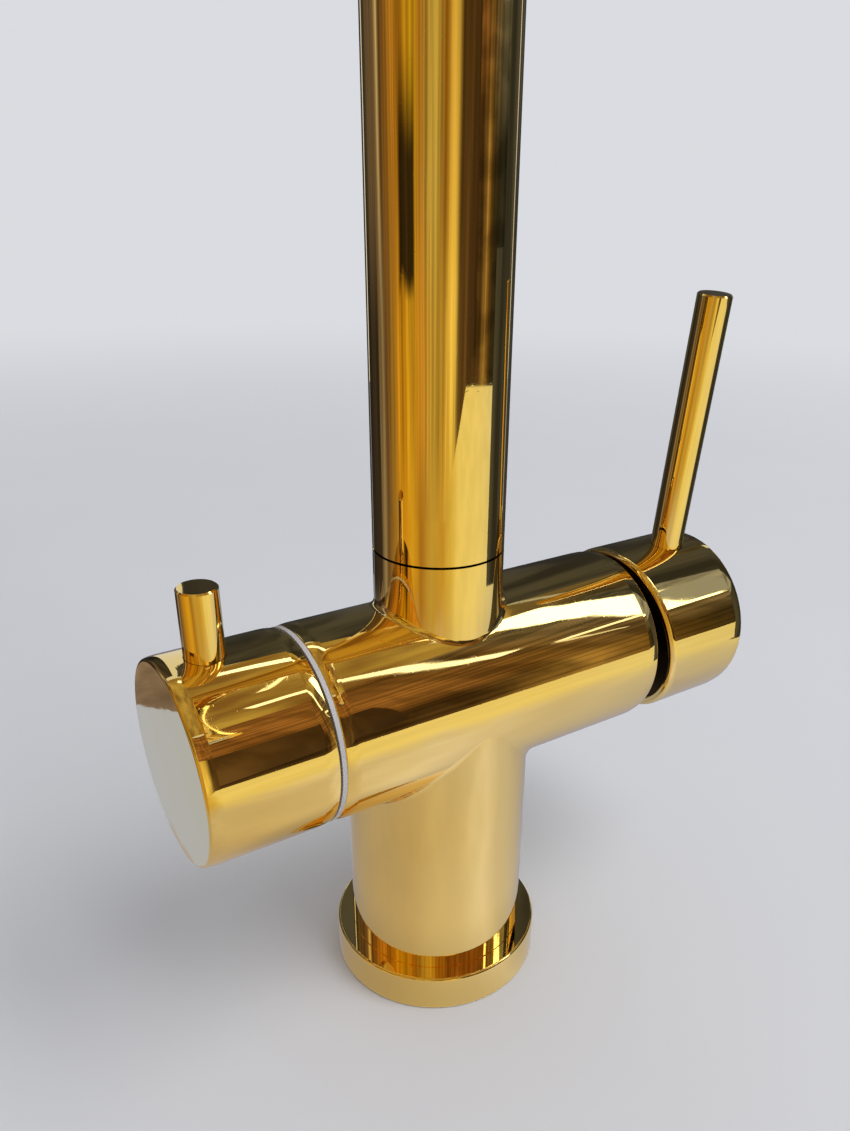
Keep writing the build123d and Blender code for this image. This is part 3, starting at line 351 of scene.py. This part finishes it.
def grey_ceramic():
    """Lapped alumina: a dense grey white with tiny darker specks."""
    material, tree = new_material("grey ceramic")
    speck = tree.between(tree.noise(1400.0, 3.0), 0.66, 0.74)
    colour = tree.blend(speck, (0.80, 0.80, 0.78, 1.0), (0.55, 0.55, 0.54, 1.0))
    tree.surface({"Base Color": colour, "Roughness": 0.16 + speck * 0.2, "Coat Weight": 0.2})
    return material


FINISHES = {
    "polished_gold": polished_gold(),
    "dark_bronze": dark_bronze(),
    "plain_brass": plain_brass(),
    "zinc_steel": zinc_steel(),
    "plain_steel": plain_steel(),
    "black_rubber": black_rubber(),
    "light_grey_plastic": moulded_plastic(
        "light grey plastic", (0.62, 0.61, 0.63), (0.55, 0.54, 0.56), 0.32
    ),
    "white_plastic": moulded_plastic("white plastic", (0.86, 0.86, 0.84), (0.80, 0.80, 0.78), 0.3),
    "natural_nylon": moulded_plastic("natural nylon", (0.82, 0.79, 0.70), (0.76, 0.72, 0.62), 0.4),
    "grey_ceramic": grey_ceramic(),
}


def dress_construction_parts():
    """Give every node of the construction model the finish that the record names."""
    for part in frame["record"]["subparts"]:
        node = frame["nodes"][part["node"]]
        node.data.materials.clear()
        node.data.materials.append(FINISHES[part["material_slot"]])


# ---------------------------------------------------------------- pieces with more detail than their solids
def finished_piece(name, points, faces, node, body, slot):
    """A mesh that stands for a node, moves with its body and takes its finish."""
    mesh = bpy.data.meshes.new(name)
    mesh.from_pydata(points, [], faces)
    mesh.materials.append(FINISHES[slot])
    piece = bpy.data.objects.new(name, mesh)
    bpy.context.scene.collection.objects.link(piece)
    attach(piece, body)
    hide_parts(node)


def add_clamp_stud():
    """The clamp stud: a plain core with chamfered ends, and the ridge of its thread wound round it."""
    low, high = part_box("fixing_stud")
    x, y = (low[0] + high[0]) / 2, (low[1] + high[1]) / 2
    crest = (high[0] - low[0]) / 2
    root = crest - STUD_THREAD_DEPTH
    ring = [2 * math.pi * i / STUD_SIDES for i in range(STUD_SIDES)]

    def at(radius, angle, z):
        return (x + radius * math.cos(angle), y + radius * math.sin(angle), z)

    tip = root * STUD_TIP_SHARE
    levels = [(tip, low[2]), (root, low[2] + STUD_CHAMFER), (root, high[2] - STUD_CHAMFER), (tip, high[2])]
    points = [at(radius, angle, z) for radius, z in levels for angle in ring]
    top = (len(levels) - 1) * STUD_SIDES
    faces = [tuple(reversed(range(STUD_SIDES))), tuple(range(top, top + STUD_SIDES))]
    for row in range(len(levels) - 1):
        for i in range(STUD_SIDES):
            a, b = row * STUD_SIDES + i, row * STUD_SIDES + (i + 1) % STUD_SIDES
            faces.append((a, b, b + STUD_SIDES, a + STUD_SIDES))
    first = len(points)
    turns = int((high[2] - low[2] - 2 * STUD_THREAD_MARGIN) / STUD_PITCH)
    steps = turns * STUD_SIDES
    foot = root - STUD_THREAD_SINK
    profile = [(foot, -THREAD_FOOT), (crest, -THREAD_CREST), (crest, THREAD_CREST), (foot, THREAD_FOOT)]
    for i in range(steps + 1):
        z = low[2] + STUD_THREAD_MARGIN + STUD_PITCH * i / STUD_SIDES
        lead = min(1.0, i / STUD_SIDES, (steps - i) / STUD_SIDES)
        for radius, offset in profile:
            height = root + (radius - root) * lead
            points.append(at(height, ring[i % STUD_SIDES], z + offset * STUD_PITCH))
    for i in range(steps):
        for j in range(len(profile) - 1):
            a = first + i * len(profile) + j
            b = a + len(profile)
            faces.append((a, b, b + 1, a + 1))
    finished_piece("clamp_stud", points, faces, "fixing_stud", "tap_body", "zinc_steel")


# ---------------------------------------------------------------- studio
def hide_from(thing, *kinds):
    """Keep an object or lamp out of the kinds of ray named."""
    for kind in kinds:
        setattr(thing, "visible_" + kind, False)


def stage_mesh(name, points, faces, material):
    """A mesh that belongs to the studio, not to the tap."""
    mesh = bpy.data.meshes.new(name)
    mesh.from_pydata(points, [], faces)
    mesh.materials.append(material)
    piece = bpy.data.objects.new(name, mesh)
    bpy.context.scene.collection.objects.link(piece)
    return piece


def floor_material():
    """Pale matt floor that fades into the backdrop's colour far from the tap."""
    material, tree = new_material("pale floor")
    cloud = tree.between(tree.noise(9.0, 3.0), 0.3, 0.7)
    colour = tree.blend(cloud, *FLOOR_COLOURS)
    sockets = {"Base Color": colour, "Roughness": 0.9, "Specular IOR Level": 0.0}
    matt = tree.add("ShaderNodeBsdfPrincipled", None, sockets)
    glow = tree.add("ShaderNodeEmission", None, {"Color": BACKDROP_COLOUR, "Strength": 1.0})
    reach = tree.add("ShaderNodeVectorMath", {"operation": "LENGTH"}, {0: tree.place()}, out="Value")
    fade = tree.between(reach, *FLOOR_FADE)
    both = tree.add("ShaderNodeMixShader", None, {0: fade, 1: matt, 2: glow})
    tree.add("ShaderNodeOutputMaterial", None, {"Surface": both})
    return material


def reflector(name, points, material):
    """A strip of card or light tube, which shows only in the tap's mirror finish."""
    faces = [(i, i + 1, i + 3, i + 2) for i in range(0, len(points) - 2, 2)]
    card = stage_mesh(name, points, faces, material)
    hide_from(card, "camera", "diffuse", "shadow", "transmission", "volume_scatter")


def plain_glow(name, colour, strength=1.0):
    """An even light of one colour."""
    material, tree = new_material(name)
    tree.glow((*colour, 1.0), strength)
    return material


def direction(azimuth, elevation):
    """Azimuth 0 is behind the tap (+Y) and 90 to its right (+X)."""
    a, e = math.radians(azimuth), math.radians(elevation)
    return Vector((math.sin(a) * math.cos(e), math.cos(a) * math.cos(e), math.sin(e)))


def standing_card(name, material, distance, near, far, top, bottom=(0.0, 0.0)):
    """An upright card, curved round the tap from azimuth near to azimuth far.

    Its bottom edge may slope: bottom is its height at near and at far."""
    steps = max(1, round(abs(far - near) / CARD_STEP_DEGREES))
    points = []
    for i in range(steps + 1):
        t = i / steps
        foot = direction(near + (far - near) * t, 0.0) * distance
        low = bottom[0] + (bottom[1] - bottom[0]) * t
        points += [(foot.x, foot.y, low), (foot.x, foot.y, top)]
    reflector(name, points, material)


def light_tube(name, directions, distance, widths, colour, strength):
    """A long light through several directions (azimuth, elevation), seen from the barrel.

    Its width runs from the first of widths to the second."""
    turns = [direction(*each) for each in directions]
    points = []
    for turn, (first, second) in enumerate(zip(turns, turns[1:])):
        across = first.cross(second).normalized() / 2
        for i in range(LIGHT_ROWS):
            t = i / (LIGHT_ROWS - 1)
            centre = BARREL_CENTRE + first.slerp(second, t) * distance
            along = (turn + t) / (len(turns) - 1)
            half = across * (widths[0] + (widths[1] - widths[0]) * along)
            points += [centre - half, centre + half]
    reflector(name, points, plain_glow(name, colour, strength))


def soft_light(name, directions, distance, widths, colour, strength):
    """A light tube with a dimmer halo behind it, so that its edges are soft in the finish."""
    light_tube(name, directions, distance, widths, colour, strength)
    halo_widths = [width + HALO_EXTRA_WIDTH for width in widths]
    setback = distance * HALO_SETBACK
    light_tube(name + " halo", directions, setback, halo_widths, colour, strength * HALO_STRENGTH)


def ramp_colour(tree, value, stops):
    """The colour that stops give at a value from 0 to 1."""
    settings = {"stops": [(at, (*colour, 1.0)) for at, colour in stops]}
    return tree.add("ShaderNodeValToRGB", settings, {"Fac": value})


def mottled_glow(name, dark, light, scale, stretch):
    """A glowing card for painted reflections that isn't one flat tone: streaks between a dark and a light
    colour.
    """
    material, tree = new_material(name)
    streak = tree.between(tree.noise(scale, 4.0, stretch), 0.36, 0.64)
    tree.glow(tree.blend(streak, (*dark, 1.0), (*light, 1.0)))
    return material


def drawn_noise(tree, turn, along, scales, row, detail):
    """Noise drawn round the tap and along a card. Its row sets it apart from the other patterns."""
    place = {"X": turn * scales[0], "Y": along * scales[1], "Z": row}
    vector = tree.add("ShaderNodeCombineXYZ", None, place)
    return tree.add("ShaderNodeTexNoise", None, {"Vector": vector, "Scale": 1.0, "Detail": detail})


def turn_fraction(tree):
    """0 behind the tap, 0.25 at its left, 0.5 in front and 0.75 at its right."""
    x, y = tree.axis_value(0), tree.axis_value(1)
    turn = tree.math("ARCTAN2", x * -1.0, y) / (2 * math.pi)
    return tree.math("FRACT", turn + 1.0)


def painted_reflection_cloth(name, low_stops, high_stops, low_height, high_height, notch=None, bands=0.0):
    """A glowing sheet, seen only in the mirror finish, painted as drapes in folds of painted light and
    shade: one row of colours low down and another high up.

    A notch is a darker patch painted in them: its two turn fractions, its two heights and its colour.
    Bands, from 0 to 1, is how strongly level streaks of painted light and shade cross the cloth."""
    material, tree = new_material(name)
    turn = turn_fraction(tree)
    z = tree.axis_value(2)
    fold = drawn_noise(tree, turn, z, FOLD_SCALES, row=0.0, detail=5.0)
    swing = turn + (fold - 0.5) * FOLD_SWING
    low = ramp_colour(tree, swing, low_stops)
    high = ramp_colour(tree, swing, high_stops)
    colour = tree.blend(tree.between(z, low_height, high_height), low, high)
    if notch:
        left, right, bottom, top, dark = notch
        ragged = z + (fold - 0.5) * NOTCH_RAG
        past_left = tree.past(swing, left, NOTCH_SIDE_BLUR)
        past_right = tree.past(swing, right, NOTCH_SIDE_BLUR)
        above = tree.past(ragged, bottom, NOTCH_FOOT_BLUR)
        over = tree.past(ragged, top, NOTCH_TOP_BLUR)
        inside = past_left * (1.0 - past_right) * above * (1.0 - over)
        colour = tree.blend(inside, colour, (*dark, 1.0))
    # painted light and shade: folds and pleats lighten and darken the glowing cloth
    pleat = drawn_noise(tree, turn, z, PLEAT_SCALES, row=3.0, detail=3.0)
    fold_shade = tree.between(fold, 0.34, 0.62) * 0.5 + 0.7
    pleat_shade = tree.between(pleat, 0.4, 0.6) * 0.45 + 0.78
    shade = fold_shade * pleat_shade
    clear_of_floor = tree.between(z, *CLOTH_FOOT)
    shade = shade * clear_of_floor + (1.0 - clear_of_floor)
    if bands:
        band = drawn_noise(tree, turn, z, BAND_SCALES, row=5.0, detail=4.0)
        shade = shade * (1.0 - bands + tree.between(band, 0.42, 0.6) * 1.6 * bands)
    tree.glow(tree.shaded(colour, shade))
    return material


# ---- painted reflection colours of the glowing cards round the tap: 0 behind it, 0.25 at its left, 0.5 in front, 0.75 at its right ----
DRAPE_FOOT = [
    (0.0, (0.02, 0.02, 0.02)),
    (0.1, (0.04, 0.03, 0.03)),
    (0.13, (0.30, 0.25, 0.22)),
    (0.155, (0.12, 0.07, 0.05)),
    (0.195, (0.31, 0.19, 0.05)),
    (0.24, (0.57, 0.30, 0.02)),
    (0.285, (0.64, 0.40, 0.04)),
    (0.33, (0.39, 0.20, 0.03)),
    (0.378, (0.52, 0.38, 0.10)),
    (0.425, (0.55, 0.36, 0.07)),
    (0.468, (0.70, 0.56, 0.17)),
]
DRAPE_LOW = DRAPE_FOOT + [(0.49, (0.12, 0.07, 0.03)), (0.56, (0.05, 0.03, 0.02))]
DRAPE_HIGH = [
    (0.0, (0.03, 0.03, 0.03)),
    (0.05, (0.09, 0.07, 0.06)),
    (0.11, (0.14, 0.10, 0.09)),
    (0.126, (0.55, 0.50, 0.42)),
    (0.14, (0.10, 0.06, 0.04)),
    (0.19, (0.34, 0.18, 0.04)),
    (0.24, (0.34, 0.17, 0.02)),
    (0.29, (0.46, 0.30, 0.02)),
    (0.33, (0.29, 0.15, 0.03)),
    (0.378, (0.58, 0.48, 0.16)),
    (0.425, (0.27, 0.12, 0.01)),
    (0.467, (0.58, 0.44, 0.12)),
    (0.488, (0.09, 0.05, 0.02)),
    (0.56, (0.07, 0.04, 0.02)),
]
DRAPE_NOTCH = (0.234, 0.301, 0.135, 0.23, (0.035, 0.022, 0.01))
SCREEN_LOW = [
    (0.44, (0.12, 0.06, 0.02)),
    (0.52, (0.05, 0.03, 0.015)),
    (0.58, (0.07, 0.04, 0.018)),
    (0.605, (0.30, 0.19, 0.07)),
    (0.62, (0.17, 0.10, 0.03)),
    (0.635, (0.04, 0.03, 0.015)),
    (0.68, (0.02, 0.02, 0.02)),
]
SCREEN_HIGH = [
    (0.44, (0.24, 0.11, 0.035)),
    (0.54, (0.24, 0.11, 0.035)),
    (0.585, (0.22, 0.11, 0.04)),
    (0.61, (0.15, 0.085, 0.03)),
    (0.635, (0.15, 0.11, 0.07)),
    (0.68, (0.10, 0.10, 0.10)),
]
FLOOR_CLOSE = [
    (0.0, (0.40, 0.40, 0.45)),
    (0.07, (0.37, 0.35, 0.40)),
    (0.19, (0.41, 0.38, 0.40)),
    (0.275, (0.48, 0.42, 0.38)),
    (0.35, (0.52, 0.45, 0.37)),
    (0.42, (0.58, 0.52, 0.44)),
    (0.5, (0.64, 0.59, 0.54)),
    (0.575, (0.74, 0.72, 0.78)),
    (0.62, (0.60, 0.58, 0.62)),
    (0.67, (0.55, 0.54, 0.60)),
    (0.78, (0.38, 0.38, 0.48)),
    (1.0, (0.40, 0.40, 0.45)),
]
FLOOR_OUTSIDE = DRAPE_FOOT + [
    (0.5, (0.82, 0.74, 0.38)),
    (0.6, (0.82, 0.76, 0.46)),
    (0.66, (0.72, 0.70, 0.52)),
    (0.74, (0.54, 0.53, 0.52)),
    (0.85, (0.30, 0.31, 0.38)),
    (1.0, (0.20, 0.20, 0.28)),
]


def floor_sheen():
    """A glowing card that paints the floor's reflection into the polished metal, with painted light: warm at
    the front left, bright in front, cool at right.

    Close to the tap it is even, apart from a painted contact shadow just past the base ring, and further out
    streaks run away from the tap."""
    material, tree = new_material("floor sheen")
    turn = turn_fraction(tree)
    x, y = tree.axis_value(0), tree.axis_value(1)
    reach = tree.math("SQRT", x * x + y * y)
    cloud = tree.noise(11.0, 3.0)
    close = ramp_colour(tree, turn + (cloud - 0.5) * CLOUD_SWING, FLOOR_CLOSE)
    streak = drawn_noise(tree, turn, reach, STREAK_SCALES, row=7.0, detail=4.0)
    outside = ramp_colour(tree, turn + (streak - 0.5) * STREAK_SWING, FLOOR_OUTSIDE)
    outward = tree.between(reach + (streak - 0.5) * STREAK_RAG, *SHEEN_EDGE)
    colour = tree.blend(outward, close, outside)
    # painted contact shadow: a fifth darker at the base ring's edge, fading out past it
    contact_shadow = tree.between(reach, BASE_RING_RADIUS, BASE_RING_RADIUS + CONTACT_SHADOW_WIDTH) * 0.2 + 0.8
    shade = (0.96 + tree.between(cloud, 0.35, 0.65) * 0.08) * contact_shadow
    tree.glow(tree.shaded(colour, shade))
    return material


def build_world():
    """Pale backdrop for the eye and for reflections, and a soft even fill for matt surfaces."""
    world = bpy.data.worlds.new("studio")
    bpy.context.scene.world = world
    tree = Tree(world)
    path = tree.add("ShaderNodeLightPath", out="Is Camera Ray")
    glossy = tree.add("ShaderNodeLightPath", out="Is Glossy Ray")
    through = tree.add("ShaderNodeLightPath", out="Is Transmission Ray")
    seen = path + glossy + through
    pale = tree.add("ShaderNodeBackground", None, {"Color": BACKDROP_COLOUR, "Strength": 1.0})
    white = {"Color": (1.0, 1.0, 1.0, 1.0), "Strength": FILL_STRENGTH}
    fill = tree.add("ShaderNodeBackground", None, white)
    both = tree.add("ShaderNodeMixShader", None, {0: seen, 1: fill, 2: pale})
    tree.add("ShaderNodeOutputWorld", None, {"Surface": both})


def hang_soft_lamp():
    """A square lamp aimed at the tap, kept out of its mirror finish."""
    data = bpy.data.lights.new("overhead lamp", "AREA")
    data.shape = "SQUARE"
    data.size = LAMP_SIZE
    data.energy = LAMP_POWER
    data.color = LAMP_COLOUR
    lamp = bpy.data.objects.new("overhead lamp", data)
    bpy.context.scene.collection.objects.link(lamp)
    lamp.location = LAMP_PLACE
    lamp.rotation_mode = "QUATERNION"
    lamp.rotation_quaternion = (LAMP_TARGET - LAMP_PLACE).to_track_quat("-Z", "Y")
    hide_from(lamp, "camera", "glossy")


def level_card(name, material, height, corners):
    """A card lying level: its corners at left front, left back, right front and right back."""
    reflector(name, [(x, y, height) for x, y in corners], material)


def level_sheet(name, material, height, left, right, front, back):
    """A level card with square corners."""
    level_card(name, material, height, [(left, front), (left, back), (right, front), (right, back)])


def hang_drapes():
    """Glowing cards that paint reflections into the mirror finish: folded drapes at the left and in front,
    dark flags behind, a screen and a grey sheet at the right.
    """
    drapes = painted_reflection_cloth("drapes", DRAPE_LOW, DRAPE_HIGH, low_height=0.1, high_height=0.2, notch=DRAPE_NOTCH)
    standing_card("drapes left", drapes, DRAPES_DISTANCE, near=0, far=-160, top=0.6)
    standing_card(
        "drapes front", drapes, FRONT_DRAPES_DISTANCE, near=-160, far=-202, top=0.29, bottom=(0.0, 0.11)
    )
    # painted dark reflections: the flags are dim glowing cards
    olive = mottled_glow("olive flag", (0.028, 0.029, 0.033), (0.072, 0.073, 0.078), 14.0, (1.0, 1.0, 0.25))
    standing_card("back flag", olive, FLAG_DISTANCE, near=4, far=74, top=0.5)
    standing_card("back right flag", olive, FLAG_DISTANCE, near=77, far=105, top=0.34)
    standing_card("right low flag", olive, FLAG_DISTANCE, near=105, far=122, top=0.165)
    screen = painted_reflection_cloth("front screen", SCREEN_LOW, SCREEN_HIGH, low_height=0.2, high_height=0.34, bands=0.3)
    standing_card("front screen", screen, SCREEN_DISTANCE, near=97, far=205, top=1.05)
    grey = mottled_glow("grey sheet", (0.15, 0.16, 0.20), (0.34, 0.36, 0.43), 5.0, (1.0, 1.0, 2.5))
    standing_card("grey sheet", grey, GREY_SHEET_DISTANCE, near=100, far=123, top=0.8, bottom=(0.33, 0.33))


def lay_level_cards():
    """Glowing level cards that paint reflections into the mirror finish: a warm ceiling that dims at the
    right, the floor's sheen, and two cards low at the left.

    The flat end of the filter handle shows those two, one beyond the other's sloping edge."""
    warm = mottled_glow("warm ceiling", (0.20, 0.115, 0.04), (0.50, 0.38, 0.12), 2.6, (1.0, 0.5, 1.0))
    level_sheet("ceiling", warm, CEILING_HEIGHT, left=-1.0, right=0.95, front=-1.1, back=0.9)
    dim = mottled_glow("dim ceiling", (0.025, 0.022, 0.018), (0.16, 0.125, 0.07), 2.5, (1.0, 0.3, 1.0))
    level_sheet("dim ceiling", dim, CEILING_HEIGHT, left=0.95, right=2.8, front=-1.1, back=0.9)
    half = SHEEN_HALF_WIDTH
    level_sheet("floor sheen", floor_sheen(), SHEEN_HEIGHT, left=-half, right=half, front=-half, back=half)
    cool = plain_glow("cool floor card", (0.43, 0.505, 0.73))
    cool_corners = [(-0.155, 0.03), (-0.155, 0.102), (-0.085, 0.03), (-0.085, 0.186)]
    level_card("cool floor card", cool, COOL_CARD_HEIGHT, cool_corners)
    taupe = mottled_glow("taupe floor card", (0.14, 0.105, 0.085), (0.34, 0.255, 0.2), 26.0, (1.0, 1.0, 1.0))
    taupe_corners = [(-0.165, 0.09), (-0.165, 0.22), (-0.085, 0.186), (-0.085, 0.22)]
    level_card("taupe floor card", taupe, TAUPE_CARD_HEIGHT, taupe_corners)


def hang_lights():
    """The long lights that draw bright lines along the barrel and over both handles."""
    main = [(103.5, 57.5), (108.5, 54), (113.5, 48.6), (117.5, 42.8), (120, 38.7), (124.5, 32), (127.4, 24)]
    soft_light(
        "main light", main, MAIN_LIGHT_DISTANCE,
        widths=(0.135, 0.075), colour=COOL_WHITE, strength=3.2,
    )
    edge = [(114, 38.5), (121, 30.5), (124.5, 25)]
    light_tube(
        "main light edge", edge, EDGE_LIGHT_DISTANCE,
        widths=(0.08, 0.05), colour=(0.9, 1.0, 1.3), strength=0.34,
    )
    side = [(152.4, 61.8), (146.5, 61.4), (140, 59.5), (138.8, 56.9)]
    side += [(139.3, 52.5), (140.6, 46.7), (141, 40), (139.6, 33.9)]
    soft_light(
        "side light", side, MAIN_LIGHT_DISTANCE,
        widths=(0.03, 0.03), colour=WARM_WHITE, strength=2.0,
    )
    crown = [(70, 71), (126, 71)]
    light_tube(
        "crown light", crown, CROWN_LIGHT_DISTANCE,
        widths=(0.014, 0.014), colour=(1.0, 0.98, 0.9), strength=1.6,
    )
    rear = [(8, 63), (34, 64), (50, 65), (66, 62)]
    soft_light(
        "rear light", rear, REAR_LIGHT_DISTANCE,
        widths=(0.06, 0.06), colour=(0.95, 1.0, 1.0), strength=2.2,
    )
    high = [(62, 56), (84, 51)]
    light_tube(
        "high light", high, REAR_LIGHT_DISTANCE,
        widths=(0.03, 0.03), colour=(0.9, 0.95, 1.0), strength=0.5,
    )
    thin = [(137, 29.8), (132.5, 29), (129.2, 27.6)]
    light_tube(
        "thin light", thin, MAIN_LIGHT_DISTANCE,
        widths=(0.02, 0.026), colour=WARM_WHITE, strength=1.6,
    )
    low = [(137, 29.8), (136, 25.4), (134.2, 21.9)]
    light_tube(
        "low thin light", low, MAIN_LIGHT_DISTANCE,
        widths=(0.014, 0.008), colour=(1.0, 0.97, 0.88), strength=0.9,
    )


def build_studio():
    """The floor, the backdrop, one soft lamp, and everything that the mirror finish shows."""
    bpy.context.scene.view_settings.view_transform = "Standard"
    build_world()
    half = FLOOR_HALF_WIDTH
    corners = [(-half, -half, 0), (half, -half, 0), (half, half, 0), (-half, half, 0)]
    floor = stage_mesh("floor", corners, [(0, 1, 2, 3)], floor_material())
    floor.location.z = -FLOOR_DROP
    hang_soft_lamp()
    hang_drapes()
    lay_level_cards()
    hang_lights()


def build_camera():
    """The picture's own viewpoint: focal length, off-centre optical axis and slight roll."""
    a, e = math.radians(CAMERA_AZIMUTH), math.radians(CAMERA_ELEVATION)
    back = Vector((math.sin(a) * math.cos(e), -math.cos(a) * math.cos(e), math.sin(e)))
    level_right = (-back).cross(Vector((0, 0, 1))).normalized()
    level_up = back.cross(level_right)
    roll = math.radians(CAMERA_ROLL)
    right = level_right * math.cos(roll) - level_up * math.sin(roll)
    up = level_up * math.cos(roll) + level_right * math.sin(roll)
    data = bpy.data.cameras.new("picture camera")
    data.sensor_width = SENSOR
    data.lens = FOCAL_PIXELS / PICTURE_HEIGHT * SENSOR
    data.shift_x = (PICTURE_WIDTH / 2 - OPTICAL_CENTRE[0]) / PICTURE_HEIGHT
    data.shift_y = (OPTICAL_CENTRE[1] - PICTURE_HEIGHT / 2) / PICTURE_HEIGHT
    data.clip_start = 0.01
    camera = bpy.data.objects.new("picture camera", data)
    bpy.context.scene.collection.objects.link(camera)
    turn = Matrix((right, up, back)).transposed().to_4x4()
    camera.matrix_world = Matrix.Translation(CAMERA_PLACE) @ turn
    bpy.context.scene.camera = camera


dress_construction_parts()
add_clamp_stud()
build_studio()
build_camera()
